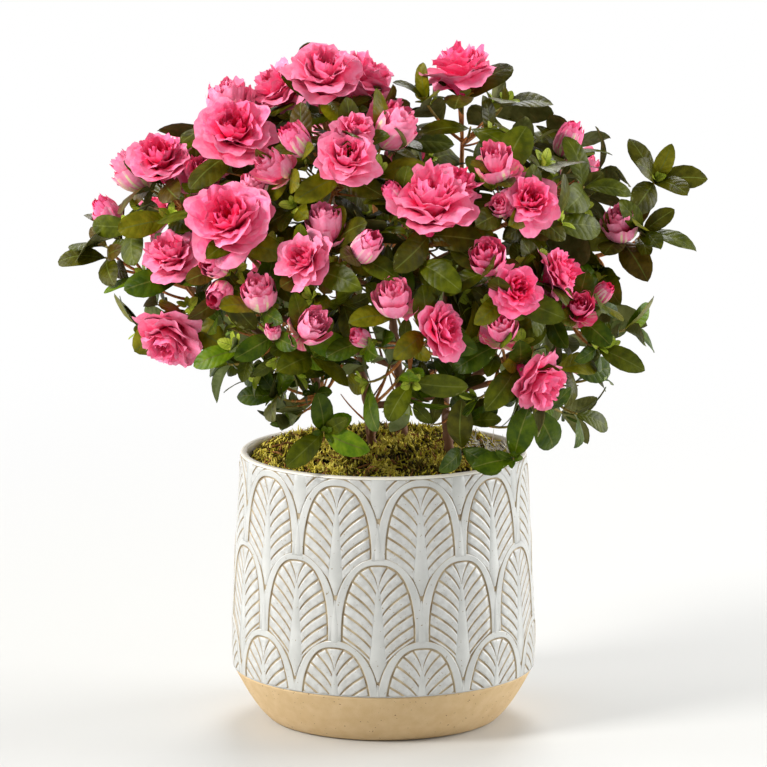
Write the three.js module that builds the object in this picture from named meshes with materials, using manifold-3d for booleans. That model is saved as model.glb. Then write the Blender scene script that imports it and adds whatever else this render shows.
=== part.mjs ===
// A potted evergreen azalea: a stoneware planter filled with potting mix and moss, stems that rise
// from one root, a bough to each spray of the crown, and the sprays themselves, in millimetres.
// +Z is up, the viewer stands on the -Y side, and the origin is the middle of the planter's underside.
import * as THREE from 'three';
import { mergeVertices } from 'three/addons/utils/BufferGeometryUtils.js';
import Module from 'manifold-3d';

const wasm = await Module();
wasm.setup();

// ---------------------------------------------------------------- driving sizes
const GAP = 0.3; // clearance between touching nodes

const PLANTER = {
  height: 168,
  rimRadius: 88.6,
  bellyRadius: 94.6,
  bellyHeight: 46,
  glazeRadius: 93.8,
  glazeHeight: 33,
  footRadius: 70,
  footCurve: 0.68,
  wallCurve: 1.3,
  wall: 4.2,
  floor: 8,
  floorFillet: 2,
  edge: 1.5,
  outerLevels: [6, 14, 24, 33, 40, 48, 100],
  innerLevels: [22, 40, 100],
  sides: 40,
};
const SOIL_TOP = 150;
const MOSS = { edgeTop: 162, mound: 9, bump: 1.6, rings: 4, sides: 24 };

const FLARE = { share: 0.9, height: 9 }; // how much a stem's foot swells, and how fast that dies away
const STEM = { sides: 7, segments: 8 };
const BOUGH_BEND = [0.56, 0.56, 0.44]; // share of a bough's span to its bend, across and up
const BOUGH = { startRadius: 2.3, endRadius: 1.7, startShare: 0.85, sway: 0.14, sides: 5, segments: 3 };
const SPINE = { startRadius: 1.7, endRadius: 1.5, sides: 5, lowestFork: 0.3 };
const SPRAY = { reach: 34, baseReach: 34, baseShare: 0.5, widest: 110, spacing: 27, lean: 0.6 };
const SPIRAL_STEPS = 46;
const LOWEST = { leafOverPot: 177, leafOutside: 170, shootOverPot: 190, shootOutside: 184 };
const TWIG = { startRadius: 1.15, endRadius: 1.25, sides: 3, middle: 0.55, approach: 0.45, knot: 2.4 };
const TWIG_BOWS = [0, 0.18, -0.18, 0.35, -0.35];
const LEAF = { length: 36, width: 18, widest: 0.58, raised: 3, droop: 4, sizeSpread: 0.3 };
const WHORL = { lift: 20, liftSpread: 24, turn: 30, turnSpread: 50 };
const LEAF_TRIES = [[0, 1], [22, 0.9], [40, 0.8], [0, 0.6], [-22, 0.8]]; // extra lift, share of size

// The shape of each kind of flower in shares of its size: the radii of its rim's lobes and notches
// and of its ring of inner petals, and how far these, its heart and its foot stand from its middle.
const FLOWERS = {
  open: { corners: 10, lobe: 0.52, notch: 0.44, rim: 0.02, inner: 0.27, crown: 0.24, heart: 0.1, foot: 0.42 },
  half: { corners: 5, lobe: 0.45, notch: 0.45, rim: 0.2, inner: 0.26, crown: 0.46, heart: 0.3, foot: 0.55 },
  bud: { corners: 5, lobe: 0.36, notch: 0.36, rim: -0.05, inner: 0.26, crown: 0.42, heart: 0.62, foot: 0.6 },
};
const RUFFLE = 0.05;
const FLOWER_SHRINK = [1, 0.9, 0.8, 0.7, 0.6];

// Stems: where each stands in the pot, its radius at the foot and tip, how far its middle is
// pushed aside, and the spray that its tip carries.
const STEMS = {
  stem_left: { foot: [-18, -14], radii: [3.3, 2.1], push: [-4, -2, 4], feeds: 'crown_left' },
  stem_middle: { foot: [-5, 12], radii: [2.9, 2.0], push: [3, -3, 0], feeds: 'crown_top' },
  stem_right: { foot: [44, -16], radii: [3.0, 2.0], push: [-17, 2, -6], feeds: 'right_top' },
  stem_back: { foot: [13, 36], radii: [3.0, 2.0], push: [6, 5, 4], feeds: 'back_top' },
};

// Sprays of the crown. Each has the middle of its space, the stem and the share of that stem's
// height where its bough leaves, the number of further leafy shoots that the rule below may add,
// and its main shoots: [kind, bearing, rise, reach, size of flower]. Bearing 0 faces the viewer and
// 90 points to the right, rise is the angle above the horizon, and reach is the distance from the
// spray's middle.
const SPRAYS = {
  crown_top: {
    centre: [-35, -25, 370], leafy: 1,
    shoots: [['open', -5, 48, 50, 46], ['open', 90, 48, 39, 44], ['open', -70, 45, 42, 38],
      ['open', 55, 15, 48, 34], ['open', 175, 30, 40, 42]],
  },
  crown_left: {
    centre: [-85, -35, 345], leafy: 2,
    shoots: [['open', -10, 35, 51, 46], ['half', -50, 72, 46, 31], ['open', 95, 75, 40, 34]],
  },
  crown_middle: {
    centre: [-30, -65, 345], stem: 'stem_middle', from: 0.86, leafy: 3,
    shoots: [['open', 10, 15, 50, 38], ['open', 25, 45, 46, 34], ['bud', -35, 35, 48, 21],
      ['half', -45, 10, 52, 24], ['half', 65, 35, 54, 27]],
  },
  left_shoulder: {
    centre: [-125, -25, 325], stem: 'stem_left', from: 0.84, leafy: 3,
    shoots: [['open', -35, 50, 38, 40], ['half', -85, 30, 36, 27], ['open', 30, 35, 38, 34],
      ['half', 165, 45, 36, 30]],
  },
  left_arm: {
    centre: [-150, -20, 283], stem: 'stem_left', from: 0.62, leafy: 0,
    shoots: [['bud', -85, 62, 40, 23], ['leafy', -100, 38, 26, 0], ['leafy', -50, 25, 28, 0],
      ['leafy', -85, 2, 34, 0]],
  },
  left_middle: {
    centre: [-85, -70, 305], stem: 'stem_left', from: 0.74, leafy: 2,
    shoots: [['open', -5, 20, 44, 50], ['half', 20, 62, 44, 26], ['bud', -25, -14, 40, 20],
      ['bud', -22, -40, 44, 20]],
  },
  left_low: {
    centre: [-115, -45, 270], stem: 'stem_left', from: 0.52, leafy: 2,
    shoots: [['open', -15, 35, 48, 36], ['open', -20, -15, 42, 42]],
  },
  centre_left: {
    centre: [-30, -80, 290], stem: 'stem_middle', from: 0.62, leafy: 3,
    shoots: [['open', -20, 15, 48, 34], ['half', -5, 50, 42, 26], ['bud', 25, 25, 52, 22]],
  },
  lower_left: {
    centre: [-65, -75, 253], stem: 'stem_left', from: 0.42, leafy: 4,
    shoots: [['half', -15, 35, 48, 24], ['bud', 0, 10, 42, 13], ['half', 25, 8, 52, 24]],
  },
  centre: {
    centre: [25, -80, 310], stem: 'stem_middle', from: 0.72, leafy: 3,
    shoots: [['open', 5, 20, 48, 52], ['bud', -30, 42, 50, 15], ['open', 50, 55, 44, 32]],
  },
  centre_low: {
    centre: [15, -88, 250], stem: 'stem_right', from: 0.5, leafy: 4,
    shoots: [['half', -15, 38, 50, 25], ['open', 18, 22, 46, 33], ['bud', -45, 10, 44, 14]],
  },
  right_top: {
    centre: [48, -25, 366], leafy: 5,
    shoots: [['open', 0, 75, 44, 43]],
  },
  right_upper: {
    centre: [75, -60, 328], stem: 'stem_right', from: 0.82, leafy: 4,
    shoots: [['half', -15, 42, 46, 27], ['open', 20, 5, 42, 34], ['half', -8, 5, 44, 22]],
  },
  right_shoulder: {
    centre: [103, -15, 332], stem: 'stem_right', from: 0.88, leafy: 4,
    shoots: [['bud', 50, 72, 36, 21]],
  },
  right_arm: {
    centre: [148, -15, 297], stem: 'stem_right', from: 0.66, leafy: 1,
    shoots: [['leafy', 112, 64, 45, 0], ['half', -12, 30, 26, 24], ['leafy', 35, 35, 22, 0],
      ['leafy', -40, -20, 26, 0]],
  },
  right_inner: {
    centre: [75, -80, 282], stem: 'stem_right', from: 0.58, leafy: 3,
    shoots: [['half', -22, 28, 48, 24], ['open', -5, 2, 44, 30], ['open', 60, 15, 36, 32]],
  },
  right_low: {
    centre: [115, -50, 260], stem: 'stem_right', from: 0.34, leafy: 5,
    shoots: [['half', -32, 15, 42, 21], ['half', 2, 12, 40, 21], ['bud', 55, 35, 28, 14]],
  },
  bottom_right: {
    centre: [75, -75, 238], stem: 'stem_right', from: 0.4, leafy: 3,
    shoots: [['half', -10, 28, 46, 22], ['open', 15, 0, 38, 38]],
  },
  right_skirt: {
    centre: [96, -32, 222], stem: 'stem_middle', from: 0.24, leafy: 4,
    shoots: [['bud', 45, 12, 36, 13], ['leafy', -15, -30, 80, 0]],
  },
  left_skirt: {
    centre: [-38, -46, 212], stem: 'stem_left', from: 0.24, leafy: 6,
    shoots: [],
  },
  low_middle: {
    centre: [-8, -52, 207], stem: 'stem_middle', from: 0.14, leafy: 5,
    shoots: [],
  },
  low_right: {
    centre: [46, -58, 206], stem: 'stem_right', from: 0.24, leafy: 5,
    shoots: [],
  },
  back_top: {
    centre: [-8, 50, 336], leafy: 5,
    shoots: [['open', 180, 40, 44, 46], ['open', 150, 0, 44, 42], ['half', -130, 30, 42, 28]],
  },
  back_left: {
    centre: [-98, 45, 305], stem: 'stem_back', from: 0.7, leafy: 6,
    shoots: [['open', -140, 25, 44, 44], ['open', -95, 5, 44, 38], ['half', 175, 40, 44, 28],
      ['bud', -120, 55, 42, 20]],
  },
  back_right: {
    centre: [92, 45, 310], stem: 'stem_back', from: 0.78, leafy: 6,
    shoots: [['open', 140, 25, 44, 44], ['half', 95, 35, 42, 28], ['open', 175, 0, 44, 38],
      ['bud', 150, 60, 42, 20]],
  },
  back_centre: {
    centre: [0, 92, 292], stem: 'stem_back', from: 0.6, leafy: 6,
    shoots: [['open', 180, 20, 46, 48], ['open', 140, 40, 44, 36], ['half', -145, 30, 44, 28],
      ['half', 170, -20, 44, 26]],
  },
  back_low_left: {
    centre: [-62, 75, 236], stem: 'stem_back', from: 0.4, leafy: 7,
    shoots: [['open', -160, 20, 44, 38], ['half', -115, 15, 42, 26]],
  },
  back_low_right: {
    centre: [68, 72, 234], stem: 'stem_back', from: 0.3, leafy: 7,
    shoots: [['open', 160, 20, 44, 38], ['half', 110, 10, 42, 26], ['bud', 140, 45, 40, 16]],
  },
};

// ---------------------------------------------------------------- small tools
const RAD = Math.PI / 180;
const GOLDEN_ANGLE = Math.PI * (3 - Math.sqrt(5));
const UP = new THREE.Vector3(0, 0, 1);
const vec = (a) => new THREE.Vector3(...a);

// A seeded stream of numbers from 0 to 1 (Park and Miller's).
function stream(seed) {
  let state = (seed * 7919 + 17) % 2147483647;
  return () => {
    state = (state * 48271) % 2147483647;
    return state / 2147483647;
  };
}

// The direction at a bearing and rise, as the table of sprays states them.
function heading(bearing, rise) {
  const level = Math.cos(rise * RAD);
  const [x, y] = [Math.sin(bearing * RAD), -Math.cos(bearing * RAD)];
  return new THREE.Vector3(level * x, level * y, Math.sin(rise * RAD));
}

// Two directions square to an axis and to each other.
function sideways(axis) {
  const across = Math.abs(axis.z) > 0.95 ? new THREE.Vector3(1, 0, 0) : UP.clone();
  const u = across.cross(axis).normalize();
  return [u, axis.clone().cross(u)];
}

// A closed three.js geometry as a manifold.
function solidOf(geometry) {
  const bare = geometry.clone();
  bare.deleteAttribute('normal');
  bare.deleteAttribute('uv');
  const merged = mergeVertices(bare, 1e-3);
  const vertProperties = new Float32Array(merged.attributes.position.array);
  const triVerts = new Uint32Array(merged.index.array);
  return new wasm.Manifold(new wasm.Mesh({ numProp: 3, vertProperties, triVerts }));
}

// A manifold as a three.js geometry.
function geometryOf(manifold) {
  const { vertProperties, triVerts } = manifold.getMesh();
  const geometry = new THREE.BufferGeometry();
  geometry.setAttribute('position', new THREE.BufferAttribute(vertProperties, 3));
  geometry.setIndex(new THREE.BufferAttribute(triVerts, 1));
  geometry.computeVertexNormals();
  return geometry;
}

// The largest body of a manifold, without the crumbs and sealed pockets that joining can leave.
function mainBody(manifold) {
  const largest = (m) => m.decompose().sort((a, b) => b.volume() - a.volume())[0];
  return largest(solidOf(geometryOf(largest(manifold))));
}

// A closed skin, built up from rings of points that turn anticlockwise about the way they rise.
class Skin {
  points = [];
  triangles = [];

  ring(points) {
    const first = this.points.length;
    this.points.push(...points);
    return points.map((_, i) => first + i);
  }

  // Joins two rings, which may have unlike numbers of points.
  band(lower, upper) {
    let [i, j] = [0, 0];
    while (i < lower.length || j < upper.length) {
      const a = lower[i % lower.length];
      const b = upper[j % upper.length];
      const isLowerNext = (i + 1) / lower.length <= (j + 1) / upper.length;
      const c = isLowerNext ? lower[++i % lower.length] : upper[++j % upper.length];
      this.triangles.push([a, c, b]);
    }
  }

  // Joins two rings of equal numbers of points. A leaf grows out of each side that has one.
  leafBand(lower, upper, leaves) {
    for (const [i, leaf] of leaves.entries()) {
      const j = (i + 1) % leaves.length;
      const [a, b, c, d] = [lower[i], lower[j], upper[j], upper[i]];
      if (!leaf) {
        this.triangles.push([a, b, c], [a, c, d]);
        continue;
      }
      const [right, tip, left] = this.ring(leaf);
      this.triangles.push([a, b, tip], [a, tip, right], [b, left, tip], [c, d, tip]);
      this.triangles.push([d, right, tip], [c, tip, left], [d, a, right], [b, c, left]);
    }
  }

  close(ring, isTop) {
    for (let i = 1; i < ring.length - 1; i++)
      this.triangles.push(isTop ? [ring[0], ring[i], ring[i + 1]] : [ring[0], ring[i + 1], ring[i]]);
  }

  point(ring, tip) {
    const [apex] = this.ring([tip]);
    ring.forEach((a, i) => this.triangles.push([a, ring[(i + 1) % ring.length], apex]));
  }

  solid() {
    const vertProperties = new Float32Array(this.points.flatMap((p) => [p.x, p.y, p.z]));
    const triVerts = new Uint32Array(this.triangles.flat());
    return new wasm.Manifold(new wasm.Mesh({ numProp: 3, vertProperties, triVerts }));
  }
}

// The solid of a stack of rings with flat ends.
function stack(rings) {
  const skin = new Skin();
  const made = rings.map((ring) => skin.ring(ring));
  made.slice(1).forEach((ring, k) => skin.band(made[k], ring));
  skin.close(made[0], false);
  skin.close(made.at(-1), true);
  return skin.solid();
}

// ---------------------------------------------------------------- limbs
function ringAround(middle, axis, radius, sides, turn = 0) {
  const [u, v] = sideways(axis);
  return Array.from({ length: sides }, (_, i) => {
    const a = turn + (i / sides) * 2 * Math.PI;
    return middle.clone().addScaledVector(u, radius * Math.cos(a)).addScaledVector(v, radius * Math.sin(a));
  });
}

// A limb is a curve with a radius at each share of its length. Its rings lie square to the curve,
// or level where it is cut flat at the ground.
function limbRings(curve, radiusAt, { sides, segments }, levelFoot = false) {
  return Array.from({ length: segments + 1 }, (_, k) => {
    const t = k / segments;
    const axis = levelFoot && k === 0 ? UP.clone() : curve.getTangent(t);
    return ringAround(curve.getPoint(t), axis, radiusAt(t), sides);
  });
}

const taper = (from, to) => (t) => from + (to - from) * t;

function stemRadius(radii, height) {
  return (t) => taper(...radii)(t) * (1 + FLARE.share * Math.exp((-t * height) / FLARE.height));
}

// A stem's solid, or the space that is kept clear round it.
function stemSolid({ curve, radii, height }, gap = 0) {
  const radiusAt = (t) => stemRadius(radii, height)(t) + gap;
  return stack(limbRings(curve, radiusAt, STEM, true));
}

// ---------------------------------------------------------------- keeping clear
// Every stretch of limb, flower and leaf is kept as a convex set of points with the names of its
// node and shoot, so that a new piece can be tested against all that it mustn't touch.
const placed = [];

function element(points, node, shoot) {
  const middle = points.reduce((sum, p) => sum.add(p), new THREE.Vector3()).divideScalar(points.length);
  const radius = Math.max(...points.map((p) => p.distanceTo(middle)));
  return { points, node, shoot, middle, radius };
}

function stretches(rings, node, shoot) {
  return rings.slice(1).map((ring, k) => element([...rings[k], ...ring], node, shoot));
}

function furthest(points, way) {
  return points.reduce((best, p) => (p.dot(way) > best.dot(way) ? p : best));
}

// True if two convex sets of points are further apart than a gap: it walks to the point of their
// difference that is nearest to the origin (Gilbert's algorithm).
function apart(a, b, gap) {
  if (a.middle.distanceTo(b.middle) > a.radius + b.radius + gap) return true;
  const near = a.middle.clone().sub(b.middle);
  for (let step = 0; step < 60; step++) {
    const size = near.length();
    if (size < gap / 10) return false;
    const corner = furthest(a.points, near.clone().negate()).clone().sub(furthest(b.points, near));
    if (corner.dot(near) / size > gap) return true;
    const edge = corner.sub(near);
    near.addScaledVector(edge, THREE.MathUtils.clamp(-near.dot(edge) / edge.lengthSq(), 0, 1));
  }
  return false;
}

const isOverPot = ({ x, y }) => Math.hypot(x, y) < PLANTER.bellyRadius + 2;
const isHighEnough = (p) => p.z > (isOverPot(p) ? LOWEST.leafOverPot : LOWEST.leafOutside);

// True if a piece is clear of the pot and of all that is placed, but for what is its own.
function isClear(piece, isOwn) {
  if (!piece.points.every(isHighEnough)) return false;
  return placed.every((other) => isOwn(other) || apart(piece, other, 2 * GAP));
}

// ---------------------------------------------------------------- planter, potting mix and moss
function turned(points) {
  const profile = points.map(([r, z]) => new THREE.Vector2(r, z));
  return new THREE.LatheGeometry(profile, PLANTER.sides).rotateX(Math.PI / 2);
}

// The wall's outer radius: a slanted foot, a rounded belly and a wall that narrows to the rim.
function outerRadius(z) {
  const { footRadius, glazeRadius, bellyRadius, rimRadius } = PLANTER;
  const { height, glazeHeight, bellyHeight, footCurve, wallCurve } = PLANTER;
  if (z < glazeHeight) return footRadius + (glazeRadius - footRadius) * (z / glazeHeight) ** footCurve;
  if (z < bellyHeight) {
    const t = (z - glazeHeight) / (bellyHeight - glazeHeight);
    return glazeRadius + (bellyRadius - glazeRadius) * t * (2 - t);
  }
  const t = (z - bellyHeight) / (height - bellyHeight);
  return bellyRadius + (rimRadius - bellyRadius) * t ** wallCurve;
}

const innerRadius = (z) => outerRadius(z) - PLANTER.wall;

function planter() {
  const { footRadius, floor, floorFillet, wall, height, edge, outerLevels, innerLevels } = PLANTER;
  const outside = [...outerLevels, height - edge].map((z) => [outerRadius(z), z]);
  const inside = [...innerLevels, height - edge].map((z) => [innerRadius(z), z]).reverse();
  const lip = [[outerRadius(height) - edge / 3, height - edge / 3], [outerRadius(height) - wall / 2, height]];
  return turned([
    [0, 0], [footRadius - edge, 0], [outerRadius(edge), edge],
    ...outside, ...lip, ...inside,
    [innerRadius(floor) - floorFillet, floor], [0, floor],
  ]);
}

function pottingMix() {
  const { floor, floorFillet, innerLevels } = PLANTER;
  const side = [...innerLevels, SOIL_TOP].map((z) => [innerRadius(z) - 2 * GAP, z]);
  return turned([
    [0, floor + GAP], [innerRadius(floor) - floorFillet - 2 * GAP, floor + GAP], ...side, [0, SOIL_TOP],
  ]);
}

function mossTop(x, y) {
  const share = Math.hypot(x, y) / innerRadius(MOSS.edgeTop);
  const waves = Math.sin(0.17 * x + 1.3) * Math.sin(0.21 * y + 0.4) + 0.6 * Math.sin(0.31 * x - 0.27 * y);
  return MOSS.edgeTop + MOSS.mound * (1 - share * share) + MOSS.bump * waves;
}

// A low mound over the potting mix, with a hole for each stem.
function moss(stems) {
  const radius = innerRadius(MOSS.edgeTop) - 2 * GAP;
  const bottom = SOIL_TOP + GAP;
  const ringOf = (share, heightAt) => Array.from({ length: MOSS.sides }, (_, i) => {
    const a = (i / MOSS.sides) * 2 * Math.PI;
    const [x, y] = [radius * share * Math.cos(a), radius * share * Math.sin(a)];
    return new THREE.Vector3(x, y, heightAt(x, y));
  });
  const shares = Array.from({ length: MOSS.rings }, (_, k) => 1 - k / MOSS.rings);
  let body = stack([ringOf(1, () => bottom), ...shares.map((share) => ringOf(share, mossTop))]);
  for (const stem of stems) {
    const foot = stem.curve.getPoint(0);
    const footRadius = stemRadius(stem.radii, stem.height)(0) + GAP;
    const below = ringAround(foot.clone().setZ(foot.z - 1), UP, footRadius, STEM.sides);
    const above = ringAround(foot, UP, footRadius, STEM.sides);
    body = body.subtract(stemSolid(stem, GAP)).subtract(stack([below, above]));
  }
  return body;
}

// ---------------------------------------------------------------- stems and boughs
// The point short of a spray's middle where its stem or bough ends and its own spine begins.
function sprayBase(from, centre) {
  const span = centre.clone().sub(from);
  const distance = Math.min(SPRAY.baseReach, SPRAY.baseShare * span.length());
  return centre.clone().addScaledVector(span.normalize(), -distance);
}

function makeStem([name, { foot, radii, push, feeds }]) {
  const start = vec([...foot, SOIL_TOP + GAP]);
  const tip = sprayBase(start, vec(SPRAYS[feeds].centre));
  const curve = new THREE.QuadraticBezierCurve3(start, start.clone().lerp(tip, 0.5).add(vec(push)), tip);
  return { name, feeds, curve, radii, height: tip.z - start.z };
}

// A bough leaves its stem's middle line outwards, then bends up to its spray.
function boughCurve(stem, from, centre, seed) {
  const random = stream(seed);
  const start = stem.curve.getPoint(from);
  const end = sprayBase(start, centre);
  const span = end.clone().sub(start);
  const sway = new THREE.Vector3(random() - 0.5, random() - 0.5, random() - 0.5);
  const bend = start.clone().add(vec(BOUGH_BEND).multiply(span));
  bend.addScaledVector(sway, BOUGH.sway * span.length());
  return new THREE.QuadraticBezierCurve3(start, bend, end);
}

// ---------------------------------------------------------------- shoots
// The shoots of all sprays: first those with flowers, then leafy ones wherever a spiral round each
// spray's middle finds room: over the moss, not crowding a shoot, and outside the other sprays.
function findShoots(bases) {
  const shoots = [];
  const add = (spray, kind, out, reach, size) => {
    const position = vec(SPRAYS[spray].centre).addScaledVector(out, reach);
    const way = kind === 'leafy' ? out.clone().addScaledVector(UP, SPRAY.lean).normalize() : out;
    const random = stream(1000 + shoots.length);
    const turn = (WHORL.turn + WHORL.turnSpread * (random() - 0.5)) * RAD;
    shoots.push({ spray, kind, way, turn, position, end: position, size, random });
  };
  const sprays = Object.entries(SPRAYS);
  for (const [spray, { shoots: main }] of sprays)
    for (const [kind, bearing, rise, ...sizes] of main) add(spray, kind, heading(bearing, rise), ...sizes);

  for (const [spray, { centre, leafy }] of sprays) {
    const middle = vec(centre);
    const outward = middle.clone().sub(bases[spray].end).normalize();
    const [u, v] = sideways(outward);
    let left = leafy;
    for (let k = 0; k < SPIRAL_STEPS && left > 0; k++) {
      const cosine = 1 - ((k + 0.5) / SPIRAL_STEPS) * (1 - Math.cos(SPRAY.widest * RAD));
      const sine = Math.sqrt(1 - cosine * cosine);
      const out = outward.clone().multiplyScalar(cosine)
        .addScaledVector(u, sine * Math.cos(k * GOLDEN_ANGLE))
        .addScaledVector(v, sine * Math.sin(k * GOLDEN_ANGLE));
      const position = middle.clone().addScaledVector(out, SPRAY.reach);
      const lowest = isOverPot(position) ? LOWEST.shootOverPot : LOWEST.shootOutside;
      const isCrowded = shoots.some((s) => s.position.distanceTo(position) < SPRAY.spacing);
      const others = sprays.filter(([other]) => other !== spray);
      const isNearOther = others.some(([, s]) => vec(s.centre).distanceTo(position) < SPRAY.reach);
      if (position.z < lowest || isCrowded || isNearOther) continue;
      add(spray, 'leafy', out, SPRAY.reach, 0);
      left--;
    }
  }
  return shoots;
}

// A twig leaves its spray's spine the higher, the more it faces the way that the spine goes, and
// arrives at its shoot along the way that the shoot faces.
function twigCurve(spine, { way, end }, bow) {
  const facing = way.dot(spine.way);
  const share = SPINE.lowestFork + (1 - SPINE.lowestFork) * (0.5 + 0.5 * facing);
  const start = spine.start.clone().lerp(spine.tip, share);
  const length = end.distanceTo(start);
  const bend = end.clone().addScaledVector(way, -TWIG.approach * length);
  bend.addScaledVector(sideways(way)[0], bow * length);
  return new THREE.QuadraticBezierCurve3(start, bend, end);
}

// The four rings of a three-sided twig. The last two are its knot, which carries the leaves.
function twigRings(curve, { way, end, turn }) {
  const { startRadius, endRadius, sides } = TWIG;
  const knot = end.clone().addScaledVector(way, -TWIG.knot);
  return [
    ...[0, TWIG.middle].map((t) => {
      return ringAround(curve.getPoint(t), curve.getTangent(t), startRadius, sides, turn);
    }),
    ...[knot, end].map((middle) => ringAround(middle, way, endRadius, sides, turn)),
  ];
}

// The rings of a flower and its heart.
function flowerRings(kind, middle, way, size) {
  const { corners, lobe, notch, rim, inner, crown, heart } = FLOWERS[kind];
  const ringOf = (radii, forward) => ringAround(middle, way, 1, corners).map((p, i) => {
    const out = p.sub(middle).multiplyScalar(size * radii[i % 2]);
    const ruffle = corners > 5 ? RUFFLE * (i % 2 ? -1 : 1) : 0;
    return middle.clone().add(out).addScaledVector(way, size * (forward + ruffle));
  });
  const rings = [ringOf([lobe, notch], rim), ringOf([inner, inner * (corners > 5 ? 0.8 : 1)], crown)];
  return { rings, heart: middle.clone().addScaledVector(way, size * heart) };
}

// The right edge, tip and left edge of a leaf that grows out of one side of a twig's knot.
function leafPoints(side, way, lift, share) {
  const root = side.reduce((sum, p) => sum.add(p), new THREE.Vector3()).divideScalar(side.length);
  const across = side[1].clone().sub(side[0]).normalize();
  const out = across.clone().cross(way);
  const along = out.clone().multiplyScalar(Math.cos(lift)).addScaledVector(way, Math.sin(lift));
  const over = across.clone().cross(along).negate();
  const at = (forward, aside, up) => root.clone()
    .addScaledVector(along, forward * share)
    .addScaledVector(across, aside * share)
    .addScaledVector(over, up * share);
  const { length, width, widest, raised, droop } = LEAF;
  return [
    at(widest * length, -width / 2, raised), at(length, 0, -droop), at(widest * length, width / 2, raised),
  ];
}

// The leaves of a shoot, one for each side of its knot that has room for one.
function growLeaves(shoot) {
  const [lower, upper] = shoot.rings.slice(-2);
  return lower.map((_, i) => {
    const j = (i + 1) % lower.length;
    const side = [lower[i], lower[j], upper[j], upper[i]];
    const lift = WHORL.lift + WHORL.liftSpread * (shoot.random() - 0.5);
    const share = 1 + LEAF.sizeSpread * (shoot.random() - 0.5);
    for (const [extra, shrink] of LEAF_TRIES) {
      const leaf = leafPoints(side, shoot.way, (lift + extra) * RAD, share * shrink);
      const piece = element([...side, ...leaf], shoot.spray, shoot);
      if (!isClear(piece, (other) => other.shoot === shoot)) continue;
      placed.push(piece);
      return leaf;
    }
    return null;
  });
}

// Places a flower, smaller where it lacks room, and keeps the end of its twig.
function placeFlower(shoot) {
  for (const share of FLOWER_SHRINK) {
    const size = shoot.size * share;
    const flower = flowerRings(shoot.kind, shoot.position, shoot.way, size);
    const end = shoot.position.clone().addScaledVector(shoot.way, -size * FLOWERS[shoot.kind].foot);
    const piece = element([end, ...flower.rings.flat(), flower.heart], shoot.spray, shoot);
    if (!isClear(piece, () => false)) continue;
    placed.push(piece);
    Object.assign(shoot, { flower, end });
    return true;
  }
  return false;
}

// Grows a shoot's twig, bent aside where the straight way is blocked.
function placeTwig(spine, shoot) {
  for (const bow of TWIG_BOWS) {
    const rings = twigRings(twigCurve(spine, shoot, bow), shoot);
    const pieces = stretches(rings, shoot.spray, shoot);
    if (!pieces.every((piece) => isClear(piece, (other) => other.node === shoot.spray))) continue;
    placed.push(...pieces);
    shoot.rings = rings;
    return true;
  }
  return false;
}

// A shoot is one skin: its twig, the leaves round its knot, and its flower.
function shootSolid({ rings, leaves, flower }) {
  const skin = new Skin();
  const [foot, middle, knot, end] = rings.map((ring) => skin.ring(ring));
  skin.close(foot, false);
  skin.band(foot, middle);
  skin.band(middle, knot);
  skin.leafBand(knot, end, leaves);
  if (!flower) {
    skin.close(end, true);
    return skin.solid();
  }
  const [rim, inner] = flower.rings.map((ring) => skin.ring(ring));
  skin.band(end, rim);
  skin.band(rim, inner);
  skin.point(inner, flower.heart);
  return skin.solid();
}

// ---------------------------------------------------------------- sprays
function makeSprays(bases) {
  const spines = {};
  const parts = {};
  for (const [spray, { centre }] of Object.entries(SPRAYS)) {
    const { end, way: baseWay } = bases[spray];
    const start = end.clone().addScaledVector(baseWay, GAP);
    const tip = vec(centre);
    const way = tip.clone().sub(start).normalize();
    const rings = [
      ringAround(start, baseWay, SPINE.startRadius, SPINE.sides),
      ringAround(tip, way, SPINE.endRadius, SPINE.sides),
    ];
    placed.push(...stretches(rings, spray, null));
    parts[spray] = [stack(rings)];
    spines[spray] = { start, tip, way };
  }

  const shoots = findShoots(bases).filter((shoot) => shoot.kind === 'leafy' || placeFlower(shoot));
  const grown = shoots.filter((shoot) => placeTwig(spines[shoot.spray], shoot));
  for (const shoot of grown) {
    shoot.leaves = growLeaves(shoot);
    parts[shoot.spray].push(shootSolid(shoot));
  }
  return parts;
}

// ---------------------------------------------------------------- assembly
const finish = (color, roughness) => new THREE.MeshStandardMaterial({ color, roughness, metalness: 0 });
const MATERIALS = {
  glaze: finish('#e6e5df', 0.35),
  soil: finish('#3b2a1e', 0.95),
  moss: finish('#7f8a2c', 0.95),
  bark: finish('#7a4a30', 0.85),
  spray: finish('#3f6228', 0.6),
};

const azalea = new THREE.Group();
function addNode(name, geometry, material) {
  const mesh = new THREE.Mesh(geometry, material);
  mesh.name = name;
  azalea.add(mesh);
}

const stems = Object.fromEntries(Object.entries(STEMS).map((entry) => [entry[0], makeStem(entry)]));
addNode('planter', planter(), MATERIALS.glaze);
addNode('potting_mix', pottingMix(), MATERIALS.soil);
addNode('moss', geometryOf(moss(Object.values(stems))), MATERIALS.moss);

const bases = {};
for (const stem of Object.values(stems)) {
  addNode(stem.name, geometryOf(stemSolid(stem)), MATERIALS.bark);
  const rings = limbRings(stem.curve, stemRadius(stem.radii, stem.height), STEM, true);
  placed.push(...stretches(rings, stem.name));
  bases[stem.feeds] = { end: stem.curve.getPoint(1), way: stem.curve.getTangent(1) };
}

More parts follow.
